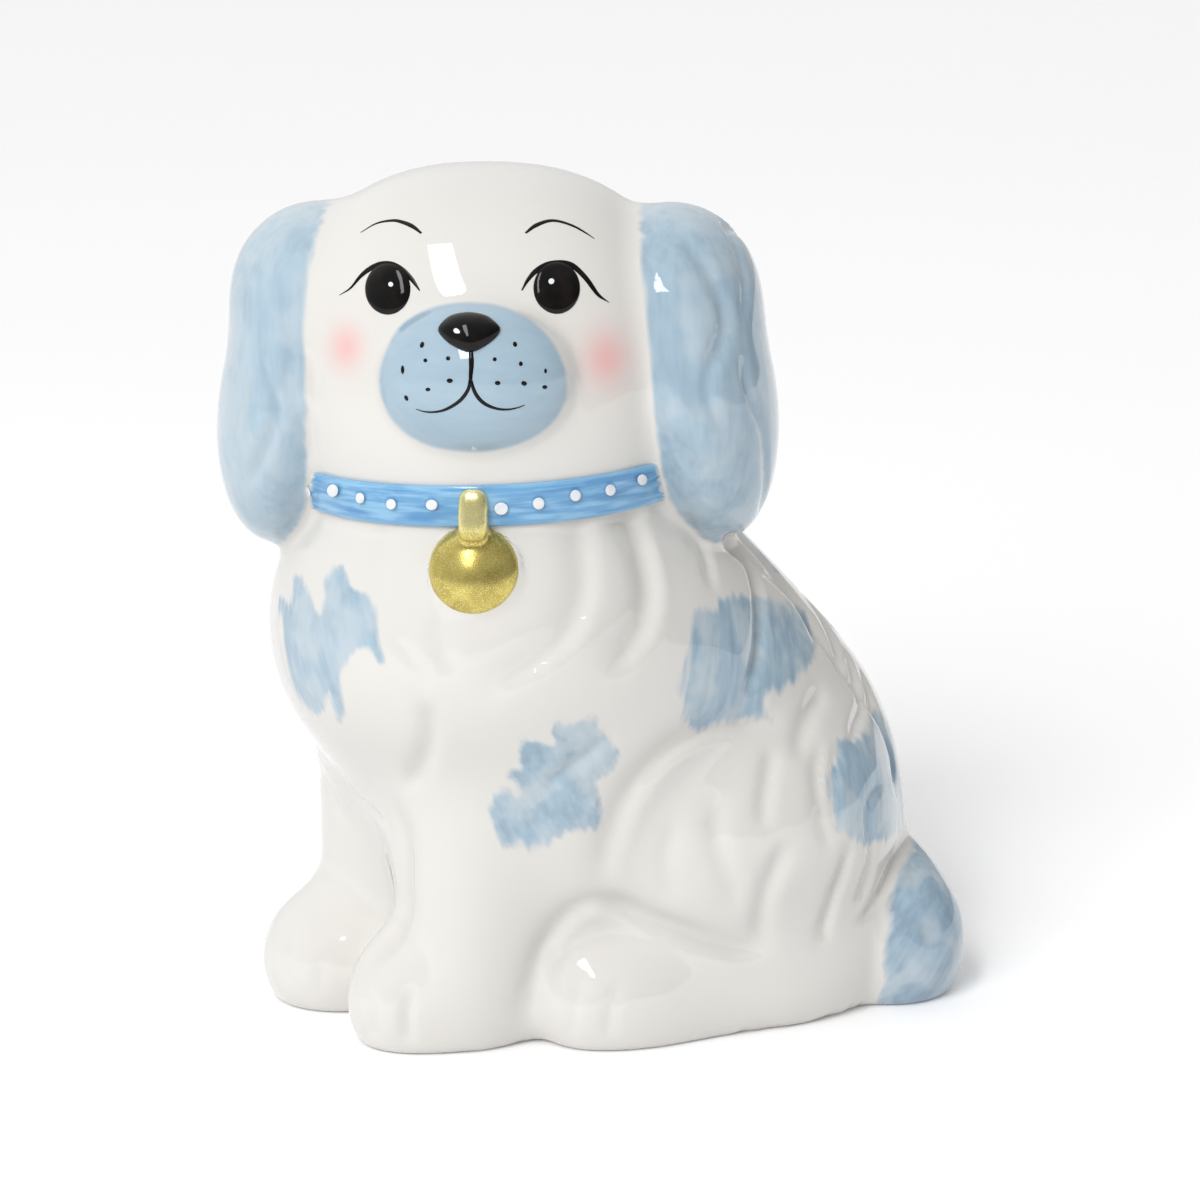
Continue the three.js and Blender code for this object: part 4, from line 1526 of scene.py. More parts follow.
@dataclass
class Face:
    """The painted eyes, brows, nose and mouth, in thick glossy colour."""

    casting: Casting
    eye_proud: float = 0.9
    nose_proud: float = 2.4
    eye_right: Daub = Daub((387.8, 289.0), (22.7, 25.7))
    eye_left: Daub = Daub((556.7, 288.0), (23.3, 26.0))
    nose: Daub = Daub(
        (469.0, 332.0),
        outline=(
            (438, 330), (443, 322.5), (452, 316.5), (469, 313.7), (486, 316.6), (495, 322.5), (500.5, 329.5),
            (496, 337.5), (484, 346.8), (472, 352), (461, 350), (449, 343.5), (441.5, 336.5),
        ),
    )
    lights: tuple[Daub, ...] = (Daub((390.5, 284.5), (2.8, 2.8)), Daub((551.6, 281.4), (3.1, 3.1)))
    nose_light: Daub = Daub((457.5, 330.5), (4.2, 3.0))
    lashes: tuple[Stroke, ...] = (
        Stroke(((339.2, 295.3), (350.3, 288.2), (360.5, 276.2), (369.8, 268.8), (380, 264.4), (391, 264.4),
            (402.1, 269.9), (411.4, 279), (419.7, 290.6)), (0.5, 2.3, 4.2, 6.0, 6.4, 6.4, 5.6, 4.4, 1.3)),
        Stroke(((521.8, 290.4), (527.9, 279.9), (535.3, 271.6), (546.4, 265.1), (559.3, 262.9),
            (570.4, 264.6), (578.8, 270.7), (588, 280.8), (598.2, 294.7), (609.3, 302.6)),
            (1.3, 3.9, 5.6, 6.4, 6.4, 6.4, 6.0, 5.4, 3.9, 0.5)),
    )
    brows: tuple[Stroke, ...] = (
        Stroke(((360.5, 232.7), (376.2, 223.5), (392.9, 220.4), (404, 222.6), (413.2, 226.8),
            (421.5, 233.3)), (0.5, 2.0, 3.2, 4.1, 5.0, 2.2)),
        Stroke(((525.5, 233.1), (535.3, 225.7), (548.2, 220.9), (559.3, 221.3), (574.1, 226.3),
            (587.1, 233.7), (594.5, 238.8)), (2.2, 4.8, 4.2, 3.6, 3.3, 2.5, 0.5)),
    )
    mouth: tuple[Stroke, ...] = (
        Stroke(((471.0, 349.0), (471.4, 364.6), (470.7, 375.4), (470.3, 386.0)), (4.0, 5.2, 4.2, 3.0)),
        Stroke(((470.4, 378), (468.4, 388.7), (462.4, 398.1), (454.4, 404.8), (443.7, 410.2), (432.9, 412.2),
            (423.6, 411.5), (416.2, 409.2)), (3.0, 3.5, 3.8, 3.5, 3.0, 2.2, 1.6, 0.5)),
        Stroke(((470.9, 379.7), (473.8, 390), (479.1, 398.8), (486.5, 404.8), (497.2, 408.8), (507.9, 409.5),
            (517.3, 407.8), (524.7, 405.1)), (2.8, 3.7, 4.0, 3.7, 2.8, 2.2, 1.6, 0.5)),
    )
    whisker_dots: tuple[Daub, ...] = (
        Daub((422.0, 344.8), (2.1, 3.2), 20.0),
        Daub((425.3, 360.4), (2.0, 2.0)),
        Daub((448.1, 358.3), (2.2, 2.2)),
        Daub((402.5, 369.7), (1.7, 4.3)),
        Daub((449.7, 380.7), (3.1, 2.3)),
        Daub((427.9, 389.5), (2.5, 1.8)),
        Daub((406.2, 398.1), (1.8, 3.0), -25.0),
        Daub((515.0, 344.2), (2.1, 2.7), -15.0),
        Daub((494.7, 359.3), (2.0, 2.1)),
        Daub((520.8, 363.8), (2.0, 2.4)),
        Daub((545.6, 370.9), (1.3, 2.4)),
        Daub((497.6, 383.0), (2.8, 2.2)),
        Daub((524.1, 383.4), (2.9, 2.3), 20.0),
        Daub((544.8, 387.1), (2.5, 2.0)),
    )

    def build(self) -> None:
        """Paints and models the face."""
        depth = self.casting.whole
        enamel = ENAMEL.material()
        white = WHITE_PAINT.material()
        domes = (
            ("eye_left", self.eye_left, self.eye_proud, 28),
            ("eye_right", self.eye_right, self.eye_proud, 28),
            ("nose", self.nose, self.nose_proud, 32),
        )
        for node, daub, proud, rings in domes:
            dome = daub.pressed_on(depth, proud, rings=rings)
            piece = placed(f"glossy_{node}", gathered(node, [dome]), [enamel])
            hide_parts(node)
            ridden(piece, BANK)
        lines = [stroke.brushed_on(depth, PAINT_PROUD) for stroke in (*self.lashes, *self.brows)]
        ridden(placed("brows_and_lashes", gathered("lines", lines), [enamel]), BANK)
        lines = [stroke.brushed_on(depth, PAINT_PROUD) for stroke in self.mouth]
        lines += [daub.pressed_on(depth, PAINT_PROUD) for daub in self.whisker_dots]
        ridden(placed("mouth_and_whisker_dots", gathered("lines", lines), [enamel]), BANK)
        lights = [daub.pressed_on(depth, PAINT_PROUD, self.eye_proud - PAINT_BEDDED) for daub in self.lights]
        lights.append(self.nose_light.pressed_on(depth, PAINT_PROUD, self.nose_proud - 0.25))
        ridden(placed("painted_lights", gathered("lights", lights), [white]), BANK)


@dataclass
class Collar:
    """The blue collar band, modelled with the casting, with its studs and white dots."""

    casting: Casting
    columns: int = 400
    squareness: float = 3.6
    sunk: float = 0.8
    stud_proud: float = 0.5
    stud_reach: float = 1.25
    dot_radius: float = 1.1
    dots: tuple[Daub, ...] = (
        Daub((332.5, 490.7), (5.6, 6.3)),
        Daub((359.9, 498.2), (4.3, 5.3)),
        Daub((390.9, 504.3), (4.9, 5.3)),
        Daub((431.6, 505.0), (5.8, 5.3)),
        Daub((501.2, 508.7), (6.8, 6.2)),
        Daub((538.7, 503.6), (5.7, 6.0)),
        Daub((575.6, 495.6), (5.3, 5.7)),
        Daub((610.5, 490.2), (5.1, 5.6)),
        Daub((642.5, 479.8), (4.9, 5.4)),
    )

    def place(self) -> Matrix:
        """Returns the collar's frame, level but for a slight rise to the dog's left."""
        middle = Matrix.Translation((HEAD_AT[0], HEAD_AT[1], COLLAR_Z))
        return middle @ turned(HEAD_TURN, "Z") @ turned(-COLLAR_TILT, "Y")

    def seats(self, angles: Array, heights: Array) -> tuple[Array, Array]:
        """Finds places on the neck.

        Args:
            angles: Directions from the collar's axis, in radians.
            heights: Heights over the collar's middle.

        Returns:
            The places, and the unit ways out from the axis.
        """
        matrix = np.array(self.place())
        outs = outward(angles) @ matrix[:3, :3].T
        axis = heights[:, None] * matrix[:3, 2] + matrix[:3, 3]
        least, reach = 20.0, 66.0
        return strike(self.casting.bare, axis + outs * reach, -outs, reach - least), outs

    def angle_of(self, places: Array) -> Array:
        """Tells which way places lie from the collar's axis.

        Args:
            places: Rows of x, y, z.

        Returns:
            The directions, in radians.
        """
        local = np.array(self.place().inverted())
        near = places @ local[:3, :3].T + local[:3, 3]
        return np.arctan2(near[:, 1], near[:, 0])

    def stud_angles(self, traced: Array) -> Array:
        """Spaces the studs that the photograph doesn't show evenly between those that it does.

        Args:
            traced: The directions of the studs that show.

        Returns:
            The directions of the others.
        """
        first, last = traced.max(), traced.min() + 2.0 * math.pi
        count = round((last - first) / (2.0 * math.pi / STUD_COUNT))
        return np.linspace(first, last, count + 1)[1:-1]

    def band(self, studs: Array) -> Mesh:
        """Turns the band's rounded section about the neck and raises the studs on it.

        Args:
            studs: The places of the studs.

        Returns:
            The band.
        """
        base = 40.0
        sheet = bmesh.new()
        ring = bmesh.ops.create_circle(sheet, segments=44, radius=1.0)["verts"]
        power = self.squareness
        thick = (COLLAR_PROUD + self.sunk) / 2.0
        for vert in ring:
            reach = (abs(vert.co.x) ** power + abs(vert.co.y) ** power) ** (1.0 / power)
            out, up = vert.co.x / reach, vert.co.y / reach
            vert.co = (base + COLLAR_PROUD - thick + out * thick, 0.0, up * COLLAR_BREADTH / 2.0)
        spun(sheet, (0.0, 0.0, 0.0), self.columns)
        bmesh.ops.recalc_face_normals(sheet, faces=sheet.faces)
        mesh = gathered("band", [sheet])
        places = points_of(mesh)
        angles = np.arctan2(places[:, 1], places[:, 0])
        height = places[:, 2]
        rises = np.linalg.norm(places[:, :2], axis=1) - base
        seats, outs = self.seats(angles, height)
        points = seats + outs * rises[:, None]
        near = np.linalg.norm(points[:, None, :] - studs[None, :, :], axis=2).min(axis=1)
        bump = self.stud_proud * np.exp(-((near / self.stud_reach) ** 4)) * (rises > COLLAR_PROUD / 2.0)
        points = points + outs * bump[:, None]
        put_points(mesh, points)
        ears = np.min([ear.depth(points) for ear in self.casting.ears.values()], axis=0)
        write(mesh, "clear", ears)
        write(mesh, "stud", near)
        write(mesh, "run", np.stack([angles * base * 0.12, height, rises * 0.2], axis=1))
        write(mesh, "height", height / (COLLAR_BREADTH / 2.0))
        return mesh

    def build(self) -> None:
        """Models the band and its dots."""
        bare = self.casting.bare
        fronts = np.vstack([PHOTO.strike(bare, np.array([dot.middle]), COLLAR_PROUD) for dot in self.dots])
        others = self.stud_angles(self.angle_of(fronts))
        seats, outs = self.seats(others, np.zeros(len(others)))
        hidden = seats + outs * COLLAR_PROUD
        mesh = self.band(np.vstack([fronts, hidden]))
        band = placed("collar_band", mesh, [CollarGlaze().material()])
        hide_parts("collar")
        ridden(band, BANK)
        top = COLLAR_PROUD + self.stud_proud - PAINT_BEDDED
        dots = [dot.pressed_on(bare, PAINT_PROUD, top) for dot in self.dots]
        up = np.array([0.0, 0.0, 1.0])
        for seat, out in zip(hidden, outs):
            sheet, ball = domed_ball(10)
            side = unit(np.cross(up, out))
            starts = seat + self.dot_radius * (ball[:, :1] * side + ball[:, 1:2] * up)
            spots = dropped(bare, starts, np.tile(out, (len(ball), 1)), top)
            set_points(sheet, spots + out * rise(ball, PAINT_PROUD)[:, None])
            bmesh.ops.recalc_face_normals(sheet, faces=sheet.faces)
            dots.append(sheet)
        ridden(placed("collar_dots", gathered("dots", dots), [WHITE_PAINT.material()]), BANK)


@dataclass
class Bell:
    """The gold bell: a domed disc below the collar, on a strap over the band."""

    casting: Casting
    strap_half: float = 3.0
    strap_proud: float = 1.8
    strap_sunk: float = 0.6
    strap_fade: float = 2.0
    strap_below: float = 0.6
    strap_start: float = 0.72
    strap_out: float = 1.6
    dome_sunk: float = 0.5
    voxel: float = 0.42

    def clay(self) -> Clay:
        """Shapes the bell in the head's frame, whose -Y points out of the chest.

        Returns:
            The bell's clay.
        """
        into = Home.HEAD.matrix().inverted()
        seat = into @ Vector(self.casting.bell_seat())
        over = into @ Vector(strike_round(self.casting.bare, BELL_BEARING, COLLAR_Z, COLLAR_PROUD)[0])
        top = COLLAR_Z + COLLAR_BREADTH / 2.0 - self.strap_below - HEAD_AT[2]
        bottom = seat.z + BELL_RADIUS * self.strap_start
        middle = (seat.x - BELL_ASIDE, seat.y + self.dome_sunk, seat.z)
        dome = Lump(middle, (BELL_RADIUS, BELL_PROUD, BELL_RADIUS), 2.0, Home.HEAD, pitch=BELL_PITCH)
        middle = (over.x, (over.y + seat.y - self.strap_out) / 2.0, (top + bottom) / 2.0)
        half = (self.strap_half, self.strap_proud + self.strap_sunk, (top - bottom) / 2.0)
        strap = Lump(middle, half, 1.4, Home.HEAD, fullness=3.6, pitch=BELL_PITCH / 2.0)
        return Clay(dome, strap)

    def build(self) -> None:
        """Models and gilds the bell."""
        clay = self.clay()
        sheet = bmesh.new()
        for lump in clay.lumps:
            lump.add_to(sheet)
        mesh = fused(sheet, self.voxel)
        put_points(mesh, settle(clay.depth, points_of(mesh), 0.0, 4))
        evened(mesh)
        points = settle(clay.depth, points_of(mesh), 0.0, 3)
        put_points(mesh, points)
        # Marks the strap, which the lustre paints lighter as a painted highlight
        neck = self.casting.bell_seat()[2] + BELL_RADIUS
        write(mesh, "strap", ramp(points[:, 2], neck - self.strap_fade, neck + self.strap_fade))
        piece = placed("gold_bell", mesh, [Lustre().material()])
        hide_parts("bell")
        ridden(piece, BANK)


@dataclass
class Bung:
    """The soft bung that closes the emptying hole: a ribbed cup, a flange and a pull tab."""

    fit: float = 0.3
    rise: float = 7.0
    wall: float = 2.0
    rib: float = 0.7
    ribs: int = 2
    flange_radius: float = 18.5
    flange_thickness: float = 1.6
    tab: Point = (16.0, 7.0, 1.0)
    steps: int = 120
    soft_edge: float = 0.35

    def outline(self) -> list[Pixel]:
        """Draws the cup's section.

        Returns:
            Rows of radius and height, from the axis round to the axis.
        """
        high = RECESS - self.fit
        low = high - self.flange_thickness
        top = RECESS + WALL + self.rise
        core = HOLE_RADIUS - self.fit - self.rib
        places = [(0.0, low), (self.flange_radius, low), (self.flange_radius, high), (core, high)]
        pitch = (top - high) / (self.ribs + 1)
        for index in range(1, self.ribs + 1):
            crest = high + index * pitch
            places += [(core, crest - self.rib), (core + self.rib, crest), (core, crest + self.rib)]
        bore = core - self.wall
        return [*places, (core, top), (bore, top), (bore, high + self.wall), (0.0, high + self.wall)]

    def cup(self) -> Sheet:
        """Turns the section about the hole's axis and softens its edges.

        Returns:
            The cup.
        """
        sheet = bmesh.new()
        x, y = HOLE_AT
        verts = [sheet.verts.new((x + radius, y, height)) for radius, height in self.outline()]
        for pair in zip(verts, verts[1:]):
            sheet.edges.new(pair)
        spun(sheet, (x, y, 0.0), self.steps)
        bmesh.ops.remove_doubles(sheet, verts=sheet.verts, dist=1e-4)
        bmesh.ops.recalc_face_normals(sheet, faces=sheet.faces)
        sharp = [edge for edge in sheet.edges if len(edge.link_faces) == 2 and edge.calc_face_angle() > 0.6]
        softened(sheet, sharp, self.soft_edge, clamp=True)
        return sheet

    def pull_tab(self) -> Sheet:
        """Shapes the round-edged tab under the flange.

        Returns:
            The tab.
        """
        length, width, thick = self.tab
        under = RECESS - self.fit - self.flange_thickness
        sheet = bmesh.new()
        size = Matrix.Diagonal((length, width, 2.0 * thick, 1.0))
        bmesh.ops.create_cube(sheet, size=1.0, matrix=Matrix.Translation((*HOLE_AT, under)) @ size)
        upright = [edge for edge in sheet.edges if abs(edge.verts[0].co.z - edge.verts[1].co.z) > thick]
        softened(sheet, upright, width * 0.4, segments=6)
        rims = [edge for edge in sheet.edges if edge.calc_face_angle(0.0) > 1.0]
        softened(sheet, rims, self.soft_edge)
        return sheet

    def build(self) -> None:
        """Moulds the bung."""
        piece = placed("soft_bung", gathered("bung", [self.cup(), self.pull_tab()]), [RUBBER.material()])
        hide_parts("stopper")
        ridden(piece, BUNG)


class Nodes:
    """A tree of shader nodes, with short ways to add and join them."""

    def __init__(self, tree: bpy.types.NodeTree) -> None:
        """Works on a tree."""
        self.tree = tree

    def plug(self, socket: Socket, value: object) -> None:
        """Joins a socket to another node's output, or sets its value."""
        if isinstance(value, Socket):
            self.tree.links.new(value, socket)
        else:
            socket.default_value = value

    def node(self, kind: str, settings: dict | None = None, **inputs: object) -> bpy.types.Node:
        """Adds a node.

        Args:
            kind: The node's type, after ShaderNode.
            settings: Its own settings.
            **inputs: Its sockets by name, with _ for a space: a value, or another node's output.

        Returns:
            The node.
        """
        made = self.tree.nodes.new("ShaderNode" + kind)
        for key, value in (settings or {}).items():
            setattr(made, key, value)
        for key, value in inputs.items():
            self.plug(made.inputs[key.replace("_", " ")], value)
        return made

    def sum(self, operation: str, *terms: object) -> Socket:
        """Works out one number from others.

        Args:
            operation: What to do with them.
            *terms: Values or outputs.

        Returns:
            The result.
        """
        made = self.node("Math", {"operation": operation})
        for socket, term in zip(made.inputs, terms):
            self.plug(socket, term)
        return made.outputs[0]

    def total(self, *terms: object) -> Socket:
        """Adds up several numbers.

        Args:
            *terms: Values or outputs.

        Returns:
            The sum.
        """
        result = terms[0]
        for term in terms[1:]:
            result = self.sum("ADD", result, term)
        return result


class Recipe(Nodes):
    """A material under construction."""

    def __init__(self, name: str) -> None:
        """Starts an empty material.

        Args:
            name: The material's name.
        """
        self.material = bpy.data.materials.new(name)
        self.material.use_nodes = True
        super().__init__(self.material.node_tree)
        self.tree.nodes.clear()

    def where(self) -> Socket:
        """Reads the place on the piece."""
        return self.node("TexCoord").outputs["Object"]

    def mark(self, name: str, vector: bool = False) -> Socket:
        """Reads what was written on the mesh under a name."""
        made = self.node("Attribute", {"attribute_name": name, "attribute_type": "GEOMETRY"})
        return made.outputs["Vector" if vector else "Fac"]

    def swing(self, value: object, by: object) -> Socket:
        """Stretches a noise about its middle."""
        return self.sum("MULTIPLY", self.sum("SUBTRACT", value, 0.5), by)

    def span(self, value: object, low: float, high: float, start: float = 0.0, end: float = 1.0) -> Socket:
        """Maps a value smoothly from one span to another, within its ends.

        Args:
            value: The value.
            low: Where the first span starts.
            high: Where the first span ends.
            start: What low becomes.
            end: What high becomes.

        Returns:
            The mapped value.
        """
        made = self.node("MapRange", {"interpolation_type": "SMOOTHSTEP"}, Value=value)
        for key, number in (("From Min", low), ("From Max", high), ("To Min", start), ("To Max", end)):
            made.inputs[key].default_value = number
        return made.outputs[0]

    def noise(self, where: object, scale: float, detail: float = 3.0, rough: float = 0.5) -> Socket:
        """Reads a noise at a place."""
        made = self.node("TexNoise", Vector=where, Scale=scale, Detail=detail, Roughness=rough)
        return made.outputs["Fac"]

    def mix(self, share: object, one: object, other: object) -> Socket:
        """Mixes two colours.

        Args:
            share: How much of the other, a number or an output.
            one: The first colour.
            other: The other colour.

        Returns:
            The mixed colour.
        """
        made = self.node("Mix", {"data_type": "RGBA"})
        for index, term in ((0, share), (6, one), (7, other)):
            self.plug(made.inputs[index], term)
        return made.outputs[2]

    def bumped(self, height: object, distance: float, strength: float = 1.0) -> Socket:
        """Turns a height into a normal."""
        made = self.node("Bump", Height=height, Distance=distance, Strength=strength)
        return made.outputs[0]

    def done(self, **sockets: object) -> Material:
        """Finishes the material with one Principled surface.

        Args:
            **sockets: The surface's values, by socket.

        Returns:
            The material.
        """
        surface = self.node("BsdfPrincipled", None, **sockets)
        self.node("OutputMaterial", None, Surface=surface.outputs[0])
        return self.material


Colour = tuple[float, float, float, float]


@dataclass(frozen=True)
class Glaze:
    """Brushed colours under a clear gloss glaze, as the marks on the casting say."""

    name: str
    white: Colour = (0.60, 0.585, 0.556, 1.0)
    pale: Colour = (0.34, 0.445, 0.52, 1.0)
    middle: Colour = (0.283, 0.383, 0.462, 1.0)
    strong: Colour = (0.225, 0.31, 0.39, 1.0)
    blush: Colour = (0.70, 0.30, 0.29, 1.0)
    shadow: Colour = (0.45, 0.425, 0.38, 1.0)
    gloss: float = 0.04
    wander: float = 9.0
    fringe: float = 3.0

    def material(self) -> Material:
        """Makes the material.

        Returns:
            The material.
        """
        recipe = Recipe(self.name)
        brush = recipe.mark("brush", vector=True)
        streak = recipe.noise(brush, 0.3, 1.0, 0.5)
        hairs = recipe.noise(brush, 0.8, 2.0, 0.5)
        lively = recipe.mark("ragged")
        strays = recipe.total(recipe.swing(streak, self.wander), recipe.swing(hairs, self.fringe))
        edge = recipe.total(recipe.mark("blue"), recipe.sum("MULTIPLY", strays, lively))
        mask = recipe.span(recipe.sum("DIVIDE", edge, recipe.mark("soft")), -0.6, 1.0)
        where = recipe.where()
        pool = recipe.noise(where, 100.0, 2.0, 0.5)
        shares = ((hairs, 0.3), (streak, 0.4), (pool, 0.3))
        tone = recipe.total(*(recipe.sum("MULTIPLY", *share) for share in shares))
        calm = recipe.span(lively, 0.0, 0.5, 0.25, 1.0)
        middle = recipe.span(lively, 0.0, 0.5, 0.42, 0.49)
        tone = recipe.total(recipe.swing(tone, calm), middle, recipe.mark("load"))
        ladder = recipe.mix(recipe.span(tone, 0.36, 0.56), self.pale, self.middle)
        ladder = recipe.mix(recipe.span(tone, 0.5, 0.7), ladder, self.strong)
        deep = recipe.mark("deep")
        ladder = recipe.mix(recipe.span(deep, 0.3, 2.2, 0.0, 0.5), ladder, self.strong)
        thin = recipe.sum("MULTIPLY", recipe.sum("SUBTRACT", 1.0, recipe.span(pool, 0.36, 0.6)), lively)
        cover = recipe.sum("MULTIPLY", mask, recipe.span(thin, 0.0, 0.5, 1.0, 0.7))
        body = recipe.mix(recipe.span(deep, 0.5, 3.0, 0.0, 0.3), self.white, self.shadow)
        painted = recipe.mix(cover, body, ladder)
        blush = recipe.sum("MULTIPLY", recipe.mark("blush"), 0.5)
        painted = recipe.mix(blush, painted, self.blush)
        ripple = recipe.bumped(recipe.noise(where, 60.0, 2.0), 0.00012, 0.3)
        return recipe.done(
            Base_Color=painted,
            Roughness=self.gloss,
            IOR=1.5,
            Coat_Weight=0.4,
            Coat_Roughness=0.03,
            Normal=ripple,
        )


@dataclass(frozen=True)
class CollarGlaze:
    """Streaky mid blue on the collar band, thin along its edges, with bare white clay by the ears."""

    light: Colour = (0.215, 0.42, 0.61, 1.0)
    middle: Colour = (0.115, 0.30, 0.52, 1.0)
    dark: Colour = (0.058, 0.205, 0.42, 1.0)
    white: Colour = (0.60, 0.585, 0.556, 1.0)

    def material(self) -> Material:
        """Makes the material.

        Returns:
            The material.
        """
        recipe = Recipe("collar_blue_glaze")
        run = recipe.mark("run", vector=True)
        streak = recipe.noise(run, 1.0, 2.0, 0.55)
        colour = recipe.mix(recipe.span(streak, 0.38, 0.62), self.middle, self.light)
        patchy = recipe.noise(run, 0.55, 2.0)
        colour = recipe.mix(recipe.span(patchy, 0.46, 0.66, 0.0, 0.8), colour, self.dark)
        edge = recipe.sum("ABSOLUTE", recipe.mark("height"))
        colour = recipe.mix(recipe.span(edge, 0.72, 1.0, 0.0, 0.55), colour, self.light)
        ring = recipe.sum("ABSOLUTE", recipe.sum("SUBTRACT", recipe.mark("stud"), 1.45))
        colour = recipe.mix(recipe.span(ring, 0.0, 0.35, 0.4, 0.0), colour, self.dark)
        bare = recipe.total(recipe.mark("clear"), recipe.swing(streak, 3.0))
        colour = recipe.mix(recipe.span(bare, 1.2, 2.4), self.white, colour)
        ripple = recipe.bumped(streak, 0.0001, 0.5)
        return recipe.done(
            Base_Color=colour, Roughness=0.09, IOR=1.5, Coat_Weight=0.4, Coat_Roughness=0.03, Normal=ripple
        )


@dataclass(frozen=True)
class Lustre:
    """Grainy gold lustre, brushed over the raised bell, with a painted highlight lightening the strap."""

    gold: Colour = (0.64, 0.52, 0.13, 1.0)
    # Light gold for the grain's sparkle, and for the painted highlight on the strap
    grain_and_painted_highlight: Colour = (0.95, 0.88, 0.45, 1.0)
    dull: Colour = (0.46, 0.355, 0.075, 1.0)

    def material(self) -> Material:
        """Makes the material.

        Returns:
            The material.
        """
        recipe = Recipe("gold_lustre")
        where = recipe.where()
        grain = recipe.noise(where, 4200.0, 3.0, 0.7)
        wash = recipe.noise(where, 210.0, 3.0)
        colour = recipe.mix(recipe.span(wash, 0.36, 0.66), self.dull, self.gold)
        colour = recipe.mix(recipe.span(grain, 0.5, 0.68), colour, self.grain_and_painted_highlight)
        # Painted highlight: the strap is mixed most of the way to the light gold, as if it caught the lamp
        colour = recipe.mix(recipe.sum("MULTIPLY", recipe.mark("strap"), 0.75), colour, self.grain_and_painted_highlight)
        rough = recipe.span(grain, 0.35, 0.65, 0.31, 0.17)
        bump = recipe.bumped(grain, 0.00005, 0.3)
        return recipe.done(Base_Color=colour, Metallic=0.8, Roughness=rough, Normal=bump)


@dataclass(frozen=True)
class Plain:
    """A finish of two close tones, clouded together, over a fine grain.

    The clouds and the grain are noises by scale, detail and roughness. The bump is the grain's height in
    metres and its strength.
    """

    name: str
    one: Colour
    other: Colour
    clouds: tuple[float, ...]
    between: tuple[float, float]
    surface: dict[str, float]
    grain: tuple[float, ...] = ()
    bump: tuple[float, ...] = ()

    def material(self) -> Material:
        """Makes the material.

        Returns:
            The material.
        """
        recipe = Recipe(self.name)
        where = recipe.where()
        share = recipe.span(recipe.noise(where, *self.clouds), *self.between)
        sockets = dict(self.surface)
        if self.grain:
            sockets["Normal"] = recipe.bumped(recipe.noise(where, *self.grain), *self.bump)
        return recipe.done(Base_Color=recipe.mix(share, self.one, self.other), **sockets)


# Thick black gloss, opaque white dots, the bung's milky plastic, and bare clay under the foot and inside
ENAMEL = Plain(
    "black_gloss", (0.003, 0.003, 0.003, 1.0), (0.008, 0.006, 0.005, 1.0), (260.0, 3.0), (0.4, 0.68),
    {"Roughness": 0.05, "IOR": 1.34}, (420.0, 2.0), (0.00006, 0.5),
)
WHITE_PAINT = Plain(
    "white_paint", (0.66, 0.67, 0.68, 1.0), (0.57, 0.61, 0.66, 1.0), (700.0, 2.0), (0.45, 0.7),
    {"Roughness": 0.3, "IOR": 1.5},
)
RUBBER = Plain(
    "bung_rubber", (0.58, 0.58, 0.56, 1.0), (0.50, 0.50, 0.49, 1.0), (160.0,), (0.4, 0.65),
    {"Roughness": 0.45, "Subsurface_Weight": 0.2}, (1800.0, 2.0), (0.00003, 0.5),
)
BISCUIT = Plain(
    "biscuit_clay", (0.60, 0.55, 0.48, 1.0), (0.50, 0.42, 0.35, 1.0), (70.0,), (0.4, 0.65),
    {"Roughness": 0.85}, (900.0, 4.0, 0.6), (0.00008,),
)


WHITE_LIGHT: Colour = (1.0, 1.0, 1.0, 1.0)


